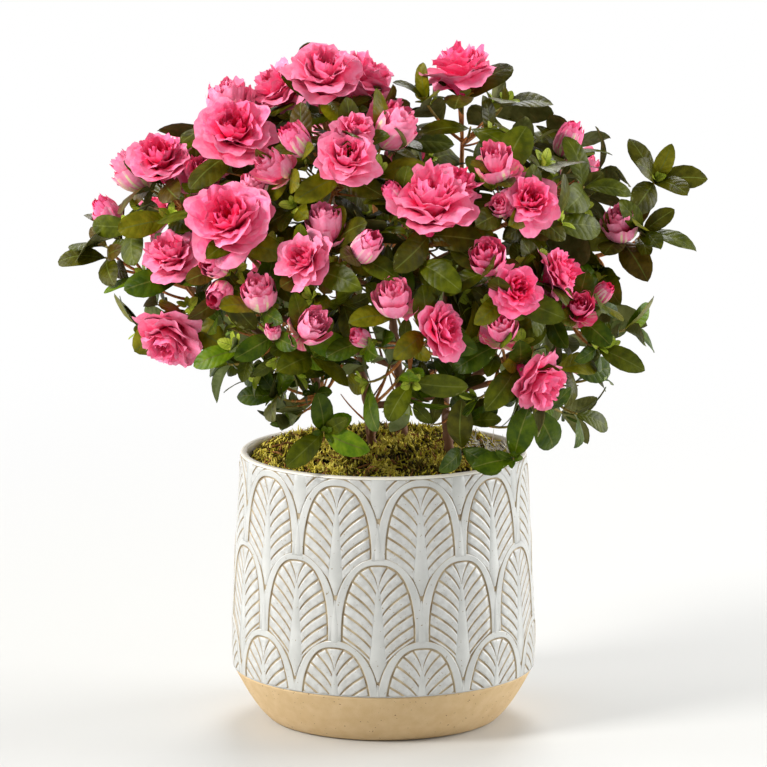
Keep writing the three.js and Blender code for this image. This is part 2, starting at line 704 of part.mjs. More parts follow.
for (const [index, [name, spray]] of Object.entries(SPRAYS).entries()) {
  if (!spray.stem) continue;
  const stem = stems[spray.stem];
  const curve = boughCurve(stem, spray.from, vec(spray.centre), index + 1);
  const startRadius = Math.min(BOUGH.startRadius, BOUGH.startShare * taper(...stem.radii)(spray.from));
  const rings = limbRings(curve, taper(startRadius, BOUGH.endRadius), BOUGH);
  addNode('bough_' + name, geometryOf(mainBody(stack(rings).subtract(stemSolid(stem, GAP)))), MATERIALS.bark);
  placed.push(...stretches(rings, 'bough_' + name));
  bases[name] = { end: curve.getPoint(1), way: curve.getTangent(1) };
}

for (const [name, shapes] of Object.entries(makeSprays(bases)))
  addNode('spray_' + name, geometryOf(mainBody(wasm.Manifold.union(shapes))), MATERIALS.spray);

export default azalea;
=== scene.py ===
# A potted azalea in full detail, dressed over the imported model: a glazed planter with a raised pattern
# of arched leaves, moss, bark, and a crown of leaves and double flowers that grows by the same rule as
# the model's sprays, carried to finer twigs. Lengths are in millimetres until a piece is made, which
# turns them into metres. +Z is up, and the viewer stands on the -Y side.
import math
from functools import lru_cache

import bpy
import numpy as np
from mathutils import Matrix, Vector, noise


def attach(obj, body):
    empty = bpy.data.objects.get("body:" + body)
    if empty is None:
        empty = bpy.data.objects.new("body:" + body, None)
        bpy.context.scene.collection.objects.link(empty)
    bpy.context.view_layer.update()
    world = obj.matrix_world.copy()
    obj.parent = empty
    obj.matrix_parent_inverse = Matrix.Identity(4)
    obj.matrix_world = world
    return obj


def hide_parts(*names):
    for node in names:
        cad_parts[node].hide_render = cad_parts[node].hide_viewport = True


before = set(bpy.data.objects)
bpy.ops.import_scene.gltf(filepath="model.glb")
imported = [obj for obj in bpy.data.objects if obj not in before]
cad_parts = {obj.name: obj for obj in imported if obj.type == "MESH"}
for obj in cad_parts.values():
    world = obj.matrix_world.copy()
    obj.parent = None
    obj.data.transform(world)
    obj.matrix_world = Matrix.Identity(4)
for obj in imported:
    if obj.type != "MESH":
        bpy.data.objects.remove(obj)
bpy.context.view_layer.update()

MM = 0.001
SEEDS = {"model_shoots": 1000, "moss": 11, "bare_twigs": 41, "whorls": 300, "small_shoots": 71,
         "leaves": 900, "flowers": 2500}

# ---------------------------------------------------------------- driving sizes, as in the model
GAP = 0.3
PLANTER = {
    "height": 168, "rim_radius": 88.6, "belly_radius": 94.6, "belly_height": 46, "wall_curve": 1.3,
    "glaze_radius": 93.8, "glaze_height": 33, "foot_radius": 70, "foot_curve": 0.68,
    "wall": 4.2, "edge": 1.5,
}
SOIL_TOP = 150
MOSS = {"edge_top": 162, "mound": 9, "bump": 1.6}
MOSS_BACK = {"from": 12, "to": 62, "rise": 4.5}  # how the loose moss heaps up towards the back

FLARE = {"share": 0.9, "height": 9}
BOUGH_BEND = np.array([0.56, 0.56, 0.44])
BOUGH = {"start": 2.3, "end": 1.7, "start_share": 0.85, "sway": 0.14, "sides": 5, "segments": 3}
STEM = {"sides": 7, "segments": 8}
SPINE = {"start": 1.7, "end": 1.5, "sides": 5, "lowest_fork": 0.3}
SPRAY = {"reach": 34, "base_reach": 34, "base_share": 0.5, "widest": 110, "spacing": 27, "lean": 0.6}
SPIRAL_STEPS = 46
LOWEST = {"leaf": (177, 170), "shoot": (190, 184), "fine_leaf": (184, 196)}  # over the pot, outside it
TWIG = {"start": 1.15, "end": 1.25, "sides": 3, "middle": 0.55, "approach": 0.45, "knot": 2.4}
TWIG_BOWS = (0, 0.18, -0.18, 0.35, -0.35)
LEAF = {"length": 36, "width": 18, "widest": 0.58, "raised": 3, "droop": 4, "size_spread": 0.3}
WHORL = {"lift": 20, "lift_spread": 24, "turn": 30, "turn_spread": 50}
LEAF_TRIES = ((0, 1), (22, 0.9), (40, 0.8), (0, 0.6), (-22, 0.8))  # extra lift, share of size
FLOWERS = {
    "open": {"corners": 10, "lobe": 0.52, "notch": 0.44, "rim": 0.02, "inner": 0.27, "crown": 0.24,
             "heart": 0.1, "foot": 0.42},
    "half": {"corners": 5, "lobe": 0.45, "notch": 0.45, "rim": 0.2, "inner": 0.26, "crown": 0.46,
             "heart": 0.3, "foot": 0.55},
    "bud": {"corners": 5, "lobe": 0.36, "notch": 0.36, "rim": -0.05, "inner": 0.26, "crown": 0.42,
            "heart": 0.62, "foot": 0.6},
}
RUFFLE = 0.05
INNER_NOTCH = 0.8
FLOWER_SHRINK = (1, 0.9, 0.8, 0.7, 0.6)

# Stems: foot, radius at the foot and tip, push of the middle, and the spray that the tip carries.
STEMS = {
    "stem_left": ((-18, -14), (3.3, 2.1), (-4, -2, 4), "crown_left"),
    "stem_middle": ((-5, 12), (2.9, 2.0), (3, -3, 0), "crown_top"),
    "stem_right": ((44, -16), (3.0, 2.0), (-17, 2, -6), "right_top"),
    "stem_back": ((13, 36), (3.0, 2.0), (6, 5, 4), "back_top"),
}


def spray(part, centre, bough, leafy, fullness, *shoots):
    """One spray: the part of the crown that it belongs to, its middle, the stem and the share of its
    height where the bough leaves (None at the tip of a stem), and the number of its leafy shoots on
    the spiral. In full detail, fullness is the share of its extra leaves, the most small shoots and,
    on the two arms, how far from the sprays' middles an extra leaf may end. Each main shoot is
    (kind, bearing, rise, reach, size)."""
    return {"part": part, "centre": np.array(centre, float), "bough": bough, "leafy": leafy,
            "fullness": fullness, "shoots": shoots}


SPRAYS = {
    "crown_top": spray("top", (-35, -25, 370), None, 1, (0.6, 7),
        ("open", -5, 48, 50, 46), ("open", 90, 48, 39, 44), ("open", -70, 45, 42, 38),
        ("open", 55, 15, 48, 34), ("open", 175, 30, 40, 42)),
    "crown_left": spray("top", (-85, -35, 345), None, 2, (0.5, 5),
        ("open", -10, 35, 51, 46), ("half", -50, 72, 46, 31), ("open", 95, 75, 40, 34)),
    "crown_middle": spray("top", (-30, -65, 345), ("stem_middle", 0.86), 3, (0.8, 12),
        ("open", 10, 15, 50, 38), ("open", 25, 45, 46, 34), ("bud", -35, 35, 48, 21),
        ("half", -45, 10, 52, 24), ("half", 65, 35, 54, 27)),
    "left_shoulder": spray("left", (-125, -25, 325), ("stem_left", 0.84), 3, (0.4, 4),
        ("open", -35, 50, 38, 40), ("half", -85, 30, 36, 27), ("open", 30, 35, 38, 34),
        ("half", 165, 45, 36, 30)),
    "left_arm": spray("left", (-150, -20, 283), ("stem_left", 0.62), 0, (0.4, 0, 60),
        ("bud", -85, 62, 40, 23), ("leafy", -100, 38, 26, 0), ("leafy", -50, 25, 28, 0),
        ("leafy", -85, 2, 34, 0)),
    "left_middle": spray("left", (-85, -70, 305), ("stem_left", 0.74), 2, (0.8, 11),
        ("open", -5, 20, 44, 50), ("half", 20, 62, 44, 26), ("bud", -25, -14, 40, 20),
        ("bud", -22, -40, 44, 20)),
    "left_low": spray("left", (-115, -45, 270), ("stem_left", 0.52), 2, (0.5, 5),
        ("open", -15, 35, 48, 36), ("open", -20, -15, 42, 42)),
    "centre_left": spray("left", (-30, -80, 290), ("stem_middle", 0.62), 3, (0.9, 14),
        ("open", -20, 15, 48, 34), ("half", -5, 50, 42, 26), ("bud", 25, 25, 52, 22)),
    "lower_left": spray("left", (-65, -75, 253), ("stem_left", 0.42), 4, (0.8, 11),
        ("half", -15, 35, 48, 24), ("bud", 0, 10, 42, 13), ("half", 25, 8, 52, 24)),
    "centre": spray("right", (25, -80, 310), ("stem_middle", 0.72), 3, (0.9, 14),
        ("open", 5, 20, 48, 52), ("bud", -30, 42, 50, 15), ("open", 50, 55, 44, 32)),
    "centre_low": spray("right", (15, -88, 250), ("stem_right", 0.5), 4, (0.3, 3),
        ("half", -15, 38, 50, 25), ("open", 18, 22, 46, 33), ("bud", -45, 10, 44, 14)),
    "right_top": spray("top", (48, -25, 366), None, 5, (0.5, 4),
        ("open", 0, 75, 44, 43)),
    "right_upper": spray("right", (75, -60, 328), ("stem_right", 0.82), 4, (0.8, 11),
        ("half", -15, 42, 46, 27), ("open", 20, 5, 42, 34), ("half", -8, 5, 44, 22)),
    "right_shoulder": spray("right", (103, -15, 332), ("stem_right", 0.88), 4, (0.45, 5),
        ("bud", 50, 72, 36, 21)),
    "right_arm": spray("right", (148, -15, 297), ("stem_right", 0.66), 1, (1.0, 0, 80),
        ("leafy", 112, 64, 45, 0), ("half", -12, 30, 26, 24), ("leafy", 35, 35, 22, 0),
        ("leafy", -40, -20, 26, 0)),
    "right_inner": spray("right", (75, -80, 282), ("stem_right", 0.58), 3, (0.9, 12),
        ("half", -22, 28, 48, 24), ("open", -5, 2, 44, 30), ("open", 60, 15, 36, 32)),
    "right_low": spray("right", (115, -50, 260), ("stem_right", 0.34), 5, (0.6, 6),
        ("half", -32, 15, 42, 21), ("half", 2, 12, 40, 21), ("bud", 55, 35, 28, 14)),
    "bottom_right": spray("right", (75, -75, 238), ("stem_right", 0.4), 3, (0.6, 7),
        ("half", -10, 28, 46, 22), ("open", 15, 0, 38, 38)),
    "right_skirt": spray("right", (96, -32, 222), ("stem_middle", 0.24), 4, (0.7, 5),
        ("bud", 45, 12, 36, 13), ("leafy", -15, -30, 80, 0)),
    "left_skirt": spray("left", (-38, -46, 212), ("stem_left", 0.24), 6, (0.9, 12)),
    "low_middle": spray("right", (-8, -52, 207), ("stem_middle", 0.14), 5, (0.2, 0)),
    "low_right": spray("right", (46, -58, 206), ("stem_right", 0.24), 5, (0.7, 7)),
    "back_top": spray("top", (-8, 50, 336), None, 5, (0.8, 10),
        ("open", 180, 40, 44, 46), ("open", 150, 0, 44, 42), ("half", -130, 30, 42, 28)),
    "back_left": spray("back", (-98, 45, 305), ("stem_back", 0.7), 6, (0.7, 7),
        ("open", -140, 25, 44, 44), ("open", -95, 5, 44, 38), ("half", 175, 40, 44, 28),
        ("bud", -120, 55, 42, 20)),
    "back_right": spray("back", (92, 45, 310), ("stem_back", 0.78), 6, (0.7, 7),
        ("open", 140, 25, 44, 44), ("half", 95, 35, 42, 28), ("open", 175, 0, 44, 38),
        ("bud", 150, 60, 42, 20)),
    "back_centre": spray("back", (0, 92, 292), ("stem_back", 0.6), 6, (0.9, 12),
        ("open", 180, 20, 46, 48), ("open", 140, 40, 44, 36), ("half", -145, 30, 44, 28),
        ("half", 170, -20, 44, 26)),
    "back_low_left": spray("back", (-62, 75, 236), ("stem_back", 0.4), 7, (0.5, 5),
        ("open", -160, 20, 44, 38), ("half", -115, 15, 42, 26)),
    "back_low_right": spray("back", (68, 72, 234), ("stem_back", 0.3), 7, (0.5, 5),
        ("open", 160, 20, 44, 38), ("half", 110, 10, 42, 26), ("bud", 140, 45, 40, 16)),
}

# ---------------------------------------------------------------- small tools
UP = np.array([0.0, 0.0, 1.0])
GOLDEN_ANGLE = math.pi * (3 - math.sqrt(5))


def unit(v):
    return v / np.linalg.norm(v)


def stream(seed):
    """A seeded stream of numbers from 0 to 1 (Park and Miller's), as in the model."""
    state = (seed * 7919 + 17) % 2147483647

    def following():
        nonlocal state
        state = state * 48271 % 2147483647
        return state / 2147483647

    return following


def heading(bearing, rise):
    b, r = math.radians(bearing), math.radians(rise)
    return np.array([math.cos(r) * math.sin(b), -math.cos(r) * math.cos(b), math.sin(r)])


def angles(count):
    """Angles spread evenly round a circle."""
    return np.arange(count) / count * 2 * math.pi


def smooth(t):
    """A share from 0 to 1 eased at both ends."""
    return t * t * (3 - 2 * t)


def bezier(t, start, bend, end):
    return (1 - t) ** 2 * start + 2 * t * (1 - t) * bend + t * t * end


def sideways(axis):
    """Two directions square to an axis and to each other."""
    across = np.array([1.0, 0.0, 0.0]) if abs(axis[2]) > 0.95 else UP
    u = unit(np.cross(across, axis))
    return u, np.cross(axis, u)


def ring_around(middle, axis, radius, sides, turn=0.0):
    u, v = sideways(axis)
    a = turn + angles(sides)
    return middle + radius * (np.cos(a)[:, None] * u + np.sin(a)[:, None] * v)


class Curve:
    """A quadratic Bezier curve."""

    def __init__(self, start, bend, end):
        self.start, self.bend, self.end = (np.asarray(p, float) for p in (start, bend, end))

    def at(self, t):
        return bezier(t, self.start, self.bend, self.end)

    def way(self, t):
        return unit((1 - t) * (self.bend - self.start) + t * (self.end - self.bend))

    def points(self, count, crowding=1):
        """Points along the curve, the closer to its start the higher the crowding."""
        return np.array([self.at(t) for t in np.linspace(0, 1, count) ** crowding])


def taper(start, end):
    return lambda t: start + (end - start) * t


@lru_cache(maxsize=None)
def grid_faces(rows, columns, is_round=False, is_flipped=False):
    """Four-cornered faces of a grid of points, row by row. A round grid closes on its first column."""
    steps = np.arange(columns if is_round else columns - 1)
    i, j = np.meshgrid(np.arange(rows - 1), steps, indexing="ij")
    k = (j + 1) % columns
    corners = [i * columns + j, (i + 1) * columns + j, (i + 1) * columns + k, i * columns + k]
    faces = np.stack([c.ravel() for c in corners], axis=1)
    return faces[:, ::-1] if is_flipped else faces


class Piece:
    """The points and faces of one piece, collected until it is made."""

    def __init__(self, name, finishes):
        self.name, self.finishes = name, list(finishes)
        self.points, self.faces, self.slots, self.places, self.count = [], [], [], [], 0

    def add(self, points, *face_sets, finish, places=None):
        """Adds points with their faces. finish is a name, or a list of one name for each face.
        places are the points' places on their own leaf, for its veins."""
        if places is not None:
            self.places.append(places.reshape(-1, 2))
        for faces in face_sets:
            self.faces.extend((faces + self.count).tolist())
            names = [finish] * len(faces) if isinstance(finish, str) else finish
            self.slots.extend(self.finishes.index(name) for name in names)
        self.points.append(np.reshape(points, (-1, 3)))
        self.count += len(self.points[-1])

    def make(self, slot, nodes):
        """Makes the piece in place of some of the model's nodes. slot, the name of a material slot, is
        not used.
        """
        mesh = bpy.data.meshes.new(self.name)
        mesh.from_pydata((np.concatenate(self.points) * MM).tolist(), [], self.faces)
        for finish in self.finishes:
            mesh.materials.append(material_named(finish))
        mesh.polygons.foreach_set("material_index", self.slots)
        mesh.polygons.foreach_set("use_smooth", [True] * len(self.faces))
        if self.places:
            corners = np.zeros(len(mesh.loops), dtype=np.int32)
            mesh.loops.foreach_get("vertex_index", corners)
            layer = mesh.uv_layers.new(name="leaf")
            layer.data.foreach_set("uv", np.concatenate(self.places)[corners].ravel())
        mesh.update()
        thing = bpy.data.objects.new(self.name, mesh)
        bpy.context.scene.collection.objects.link(thing)
        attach(thing, "root")
        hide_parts(*nodes)


BARK_REACH, BARK_GRAIN = 2.5, 0.45  # where round a limb its relief is read, and how fine it is


def add_tube(piece, points, radii, sides, finish, relief=0.0, seed=0.0):
    """A limb through a row of points, with bark relief as a share of its radius, closed at its ends."""
    points = np.asarray(points, float)
    ways = np.gradient(points, axis=0)
    ways /= np.linalg.norm(ways, axis=1)[:, None]
    u = sideways(ways[0])[0]
    a = angles(sides)
    rings = []
    for middle, way, radius in zip(points, ways, radii):
        u = unit(u - way * (u @ way))
        v = np.cross(way, u)
        r = np.full(sides, float(radius))
        if relief:
            places = (middle + BARK_REACH * (math.cos(b) * u + math.sin(b) * v) for b in a)
            r *= [1 + relief * noise.noise(Vector(BARK_GRAIN * p + seed)) for p in places]
        rings.append(middle + r[:, None] * (np.cos(a)[:, None] * u + np.sin(a)[:, None] * v))
    last = sides * (len(points) - 1)
    foot, tip = last + sides, last + sides + 1
    caps = [(foot, (i + 1) % sides, i) for i in range(sides)]
    caps += [(tip, last + i, last + (i + 1) % sides) for i in range(sides)]
    all_points = np.concatenate([*rings, points[:1], points[-1:]])
    piece.add(all_points, grid_faces(len(points), sides, True, True), np.array(caps), finish=finish)


# ---------------------------------------------------------------- materials
def linear(red, green, blue):
    """A display colour from 0 to 255 as a linear one."""
    return tuple((c / 255 / 12.92) if c <= 10 else ((c / 255 + 0.055) / 1.055) ** 2.4
                 for c in (red, green, blue))


CONTRAST = (0.35, 0.65)  # where in the noise the dark tone ends and the light one begins
COAT_ROUGHNESS = 0.15
SPECK_EDGE = 0.03  # how softly a speck ends
DETAIL = {"mottling": 4, "specks": 1, "relief": 3}
VEINS = {"count": 7, "slant": 4.4, "strength": 0.5, "depth": 0.26}


def finish(name, dark, light, scale, roughness, bump=0.0, bump_scale=None, stretch=(1, 1, 1),
           coat=0.0, specular=0.5, specks=None, has_veins=False):
    """A material whose colour wanders between two tones, with its own small relief and, where specks
    is (colour, scale, share), small specks."""
    material = bpy.data.materials.new(name)
    material.use_nodes = True
    nodes, links = material.node_tree.nodes, material.node_tree.links
    shader = nodes["Principled BSDF"]
    place = nodes.new("ShaderNodeTexCoord")
    mapping = nodes.new("ShaderNodeMapping")
    mapping.inputs["Scale"].default_value = stretch
    links.new(place.outputs["Object"], mapping.inputs["Vector"])

    def texture(size, detail):
        node = nodes.new("ShaderNodeTexNoise")
        node.inputs["Scale"].default_value = size
        node.inputs["Detail"].default_value = detail
        links.new(mapping.outputs["Vector"], node.inputs["Vector"])
        return node.outputs["Fac"]

    ramp = nodes.new("ShaderNodeValToRGB")
    for stop, position, tone in zip(ramp.color_ramp.elements, CONTRAST, (dark, light)):
        stop.position = position
        stop.color = (*linear(*tone), 1)
    links.new(texture(scale, DETAIL["mottling"]), ramp.inputs["Fac"])
    colour = ramp.outputs["Color"]
    if specks:
        speck_colour, speck_scale, share = specks
        cut = nodes.new("ShaderNodeMapRange")
        cut.inputs["From Min"].default_value = 1 - share
        cut.inputs["From Max"].default_value = 1 - share + SPECK_EDGE
        links.new(texture(speck_scale, DETAIL["specks"]), cut.inputs["Value"])
        mix = nodes.new("ShaderNodeMix")
        mix.data_type = "RGBA"
        mix.inputs["B"].default_value = (*linear(*speck_colour), 1)
        links.new(cut.outputs["Result"], mix.inputs["Factor"])
        links.new(colour, mix.inputs["A"])
        colour = mix.outputs["Result"]
    links.new(colour, shader.inputs["Base Color"])
    shader.inputs["Roughness"].default_value = roughness
    shader.inputs["Specular IOR Level"].default_value = specular
    shader.inputs["Coat Weight"].default_value = coat
    shader.inputs["Coat Roughness"].default_value = COAT_ROUGHNESS
    if bump:
        relief = nodes.new("ShaderNodeBump")
        relief.inputs["Strength"].default_value = bump
        relief.inputs["Distance"].default_value = MM
        links.new(texture(bump_scale or scale, DETAIL["relief"]), relief.inputs["Height"])
        links.new(relief.outputs["Normal"], shader.inputs["Normal"])
    if has_veins:
        add_veins(nodes, links)
    return material


def add_veins(nodes, links):
    """Quilts a leaf's material between side veins that slant up to its margins."""
    def calculated(operation, *values):
        node = nodes.new("ShaderNodeMath")
        node.operation = operation
        for socket, value in zip(node.inputs, values):
            if isinstance(value, float):
                socket.default_value = value
            else:
                links.new(value, socket)
        return node.outputs["Value"]

    place = nodes.new("ShaderNodeUVMap")
    split = nodes.new("ShaderNodeSeparateXYZ")
    links.new(place.outputs["UV"], split.inputs["Vector"])
    slant = calculated("MULTIPLY", split.outputs["Y"], -VEINS["slant"])
    along = calculated("MULTIPLY_ADD", split.outputs["X"], math.pi * VEINS["count"], slant)
    quilt = nodes.new("ShaderNodeBump")
    quilt.inputs["Strength"].default_value = VEINS["strength"]
    quilt.inputs["Distance"].default_value = VEINS["depth"] * MM
    links.new(calculated("ABSOLUTE", calculated("SINE", along)), quilt.inputs["Height"])
    normal = nodes["Principled BSDF"].inputs["Normal"]
    links.new(normal.links[0].from_socket, quilt.inputs["Normal"])
    links.new(quilt.outputs["Normal"], normal)


def looks(dark, light, scale, roughness, **others):
    return {"dark": dark, "light": light, "scale": scale, "roughness": roughness, **others}


# Each material's two tones, the fineness of its mottling, its roughness, and what else it has.
FINISHES = {
    "glaze": looks((181, 182, 178), (195, 196, 192), 60, 0.26, bump=0.06, bump_scale=300, coat=0.3,
                   specks=((141, 130, 109), 640, 0.27)),
    "glaze_leaf": looks((179, 179, 175), (196, 197, 194), 240, 0.3, bump=0.12, bump_scale=500, coat=0.2,
                        specks=((151, 138, 113), 800, 0.29)),
    # rim: a lighter copy of the glaze, painted highlight along the lip and painted light on the shaded
    # inside wall.
    "rim": looks((223, 217, 202), (231, 226, 214), 120, 0.3, bump=0.05, coat=0.2),
    "groove": looks((145, 126, 96), (185, 170, 140), 160, 0.5, bump=0.2, bump_scale=900),
    "clay": looks((200, 170, 124), (208, 180, 136), 140, 0.75, bump=0.2, bump_scale=1500,
                  specks=((112, 76, 46), 560, 0.275)),
    "soil": looks((26, 16, 11), (62, 43, 30), 300, 0.95, bump=1.0, bump_scale=500),
    "moss_ground": looks((16, 9, 4), (49, 37, 13), 260, 0.95, bump=1.0, bump_scale=700, specular=0.1),
    "bark": looks((149, 83, 33), (217, 151, 87), 260, 0.8, bump=0.6, bump_scale=700,
                  stretch=(1, 1, 0.35)),
    "twig_bark": looks((168, 92, 35), (223, 153, 81), 300, 0.65, bump=0.4, bump_scale=900,
                       stretch=(1, 1, 0.4)),
    "twig_green": looks((126, 107, 33), (162, 141, 56), 300, 0.6, bump=0.3, bump_scale=900),
    "sepal": looks((141, 147, 66), (185, 181, 104), 300, 0.55, bump=0.2),
    "floor": looks((198, 198, 195), (201, 201, 198), 0.5, 0.5),
}
MOSS_TONES = {
    "moss_yellow": ((214, 195, 62), (231, 217, 109)),
    "moss_green": ((157, 147, 33), (183, 170, 54)),
    "moss_olive": ((62, 52, 7), (98, 85, 18)),
    "moss_brown": ((105, 64, 30), (162, 115, 62)),
    "lichen": ((185, 178, 164), (219, 214, 202)),
}
LEAF_TONES = {
    "leaf_dark": ((52, 52, 0), (79, 78, 7)),
    "leaf_deep": ((56, 64, 0), (85, 92, 7)),
    "leaf_olive": ((83, 83, 0), (115, 112, 13)),
    "leaf_green": ((43, 63, 0), (71, 89, 4)),
    "leaf_bright": ((68, 98, 0), (104, 126, 11)),
    "leaf_bronze": ((64, 50, 4), (88, 71, 16)),
    "leaf_rib": ((77, 85, 26), (102, 109, 43)),
    "leaf_under": ((90, 94, 43), (117, 119, 64)),
    "leaf_under_bright": ((130, 145, 85), (159, 172, 115)),
    "leaf_young": ((130, 151, 30), (176, 185, 68)),
}
DULL_LEAVES = {"leaf_rib": 0.4, "leaf_under": 0.5, "leaf_under_bright": 0.5}
PETAL_TONES = {  # from deep to light, then the two of the outer petals of a half-open flower
    "petal_deep": ((214, 0, 35), (238, 8, 65)),
    "petal_crimson": ((236, 15, 65), (248, 39, 96)),
    "petal_rose": ((252, 33, 96), (255, 68, 126)),
    "petal_warm": ((254, 58, 118), (255, 92, 145)),
    "petal_pink": ((255, 86, 139), (255, 115, 163)),
    "petal_soft": ((255, 109, 155), (255, 139, 179)),
    "petal_light": ((255, 133, 171), (255, 160, 192)),
    "petal_pale": ((252, 164, 183), (255, 197, 204)),
    "petal_cream": ((238, 217, 169), (250, 229, 192)),
}
for name, tones in MOSS_TONES.items():
    FINISHES[name] = looks(*tones, 200, 0.85, specular=0.15)
for name, tones in LEAF_TONES.items():
    FINISHES[name] = looks(*tones, 160, DULL_LEAVES.get(name, 0.36), bump=0.2, bump_scale=500,
                           specular=0.12, has_veins=True)
for name, tones in PETAL_TONES.items():
    FINISHES[name] = looks(*tones, 260, 0.6, bump=0.25, bump_scale=700, specular=0.05)


def material_named(name):
    return bpy.data.materials.get(name) or finish(name, **FINISHES[name])


# ---------------------------------------------------------------- planter
def outer_radius(z):
    """The wall's outer radius: a slanted foot, a rounded belly and a wall that narrows to the rim."""
    p = PLANTER
    z = np.asarray(z, float)
    foot = p["foot_radius"] + (p["glaze_radius"] - p["foot_radius"]) * (
        np.clip(z, 0, p["glaze_height"]) / p["glaze_height"]) ** p["foot_curve"]
    t = np.clip((z - p["glaze_height"]) / (p["belly_height"] - p["glaze_height"]), 0, 1)
    belly = p["glaze_radius"] + (p["belly_radius"] - p["glaze_radius"]) * t * (2 - t)
    t = np.clip((z - p["belly_height"]) / (p["height"] - p["belly_height"]), 0, 1)
    wall = p["belly_radius"] + (p["rim_radius"] - p["belly_radius"]) * t ** p["wall_curve"]
    return np.where(z < p["glaze_height"], foot, np.where(z < p["belly_height"], belly, wall))


# The raised pattern: rows of arched leaves, each row half a pitch round from the next. Along the wall,
# lengths are taken at the belly's radius. Heights are those of the inside of each arch's top. An arch is
# half its width, how far its shoulders fall, and how round they are.
SCALE_RADIUS = PLANTER["belly_radius"]
REPEATS = 11
PITCH = 2 * math.pi * SCALE_RADIUS / REPEATS
PATTERN = {
    "first": -2.0, "tops": (218.0, 162.6, 115.0, 63.4), "band_top": 4.0,
    "inner": (22.9, 42, 0.38), "outer": (PITCH / 2, 36, 0.5), "gap": 1.1,
    "rib_start": 14.5, "rib_half": 1.0, "rib_growth": 0.085, "post_half": 2.0,
    "vein_first": 5.6, "vein_pitch": 6.95, "vein_drop": 7.5, "veins": 13, "vein_bend": (0.1, 0.5),
    "groove": 0.11, "bevel": 0.4, "edge": 0.14, "top_spread": 0.88, "arch_lap": 1.5, "rib_foot": 0.1,
    "floor_out": -0.25, "leaf_out": 0.3, "rib_out": 0.36, "band_out": 0.6, "row_step": 0.03,
    "side_foot": -0.35, "rib_tip": (0.2, 0.3), "thinnest_rib": 0.08, "vein_start": 0.2, "under_rib": 0.6,
    "low": 33.7, "high": 166.5,
}
# How many points draw each line of the pattern, and the fewest of a strip's line that are worth drawing.
POINTS = {"arch": 22, "rib": 36, "post": 14, "vein": 160, "outline": 60, "strip": 9, "across": 5,
          "fewest": 6}
# A post's taper, and how far it stands off the bands beside it.
POST = {"tail": 9, "lap": 1, "tip": 0.1, "growth": 0.12, "out": 0.05, "foot": -0.3}


def on_wall(along, z, out):
    """The point at a distance along the wall from the front, a height, and a distance off the wall."""
    angle = np.asarray(along) / SCALE_RADIUS
    r = outer_radius(z) + out
    return np.stack([r * np.sin(angle), -r * np.cos(angle), np.broadcast_to(z, r.shape)], axis=-1)


def arch_half(depth, arch):
    """Half the width of an arch at a depth below its top."""
    half, shoulder, roundness = arch
    t = 1 - np.clip(depth / shoulder, 0, 1)
    return half * (1 - t * t) ** roundness


def free_half(z, row):
    """Half the width that the row of arches below leaves to a leaf at a height."""
    if row + 1 >= len(PATTERN["tops"]):
        return np.full(np.shape(z), PITCH / 2)
    depth = PATTERN["tops"][row + 1] + PATTERN["band_top"] - z
    return PITCH / 2 - np.where(depth > 0, arch_half(depth, PATTERN["outer"]), 0)


def add_raised(piece, lines, out, top, foot=None, side="groove"):
    """A raised patch over a grid of (along, height), with bevelled sides that go down to a foot."""
    grid = np.pad(lines, ((1, 1), (1, 1), (0, 0)), mode="edge")
    for edge, inner in ((0, 2), (-1, -3)):
        for rows in (grid, grid.swapaxes(0, 1)):
            away = rows[edge] - rows[inner]
            length = np.maximum(np.linalg.norm(away, axis=1), 1e-6)
            rows[edge] += PATTERN["bevel"] * away / length[:, None]
    levels = np.full(grid.shape[:2], PATTERN["side_foot"] if foot is None else foot)
    levels[1:-1, 1:-1] = out
    points = on_wall(grid[..., 0], grid[..., 1], levels)
    rows, columns = levels.shape
    middle = columns // 2
    a, b = lines[-1, middle - 1] - lines[0, middle - 1], lines[0, middle] - lines[0, middle - 1]
    faces = grid_faces(rows, columns, False, bool(a[0] * b[1] < a[1] * b[0]))
    names = np.full((rows - 1, columns - 1), side, dtype=object)
    names[1:-1, 1:-1] = top
    piece.add(points, faces, finish=names.ravel().tolist())


def arch_line(top, bottom, arch):
    """One side of an arch, as (along, height) from its top down."""
    shoulder = arch[1]
    fall = top - bottom
    quarter = np.linspace(0, math.acos(1 - min(fall, shoulder) / shoulder), POINTS["arch"])
    depth = shoulder * (1 - np.cos(quarter))
    depth = np.append(depth, max(fall, depth[-1] + 0.05))
    return np.stack([arch_half(depth, arch), np.minimum(top - depth, PATTERN["high"])], axis=1)


def lap(row, depth):
    """The height where a band or a post of a row ends, behind the top of the arches below it."""
    tops = (*PATTERN["tops"], None)
    return PATTERN["low"] if tops[row + 1] is None else tops[row + 1] + PATTERN["band_top"] - depth


def add_arch(piece, middle, row):
    """The band of one arch, up one side, over its top and down the other."""
    p = PATTERN
    top = p["tops"][row]
    bottom = lap(row, p["arch_lap"])
    lines = []
    for line in (arch_line(top, bottom, p["inner"]), arch_line(top + p["band_top"], bottom, p["outer"])):
        lines.append(np.concatenate([(line * (-1, 1))[::-1], line[1:]]) + (middle, 0))
    inner, outer = lines
    lines = [inner + (outer - inner) * share for share in (0, p["edge"], 1 - p["edge"], 1)]
    add_raised(piece, np.array(lines), p["band_out"] + p["row_step"] * (row % 2), "glaze")


def add_strip(piece, middle, z, half, out, foot):
    """A smooth upright strip, whose half width is given at each height."""
    lines = np.array([np.stack([middle + side * half, z], axis=1) for side in (-1, 1)])
    add_raised(piece, lines, out, "glaze", foot=foot, side="glaze")


def rib_half(z, row):
    """Half the width of a leaf's rib at a height."""
    below = PATTERN["tops"][row] - PATTERN["rib_start"] - z
    tip, growth = PATTERN["rib_tip"]
    return np.minimum(PATTERN["rib_half"] + PATTERN["rib_growth"] * below, tip + growth * below)


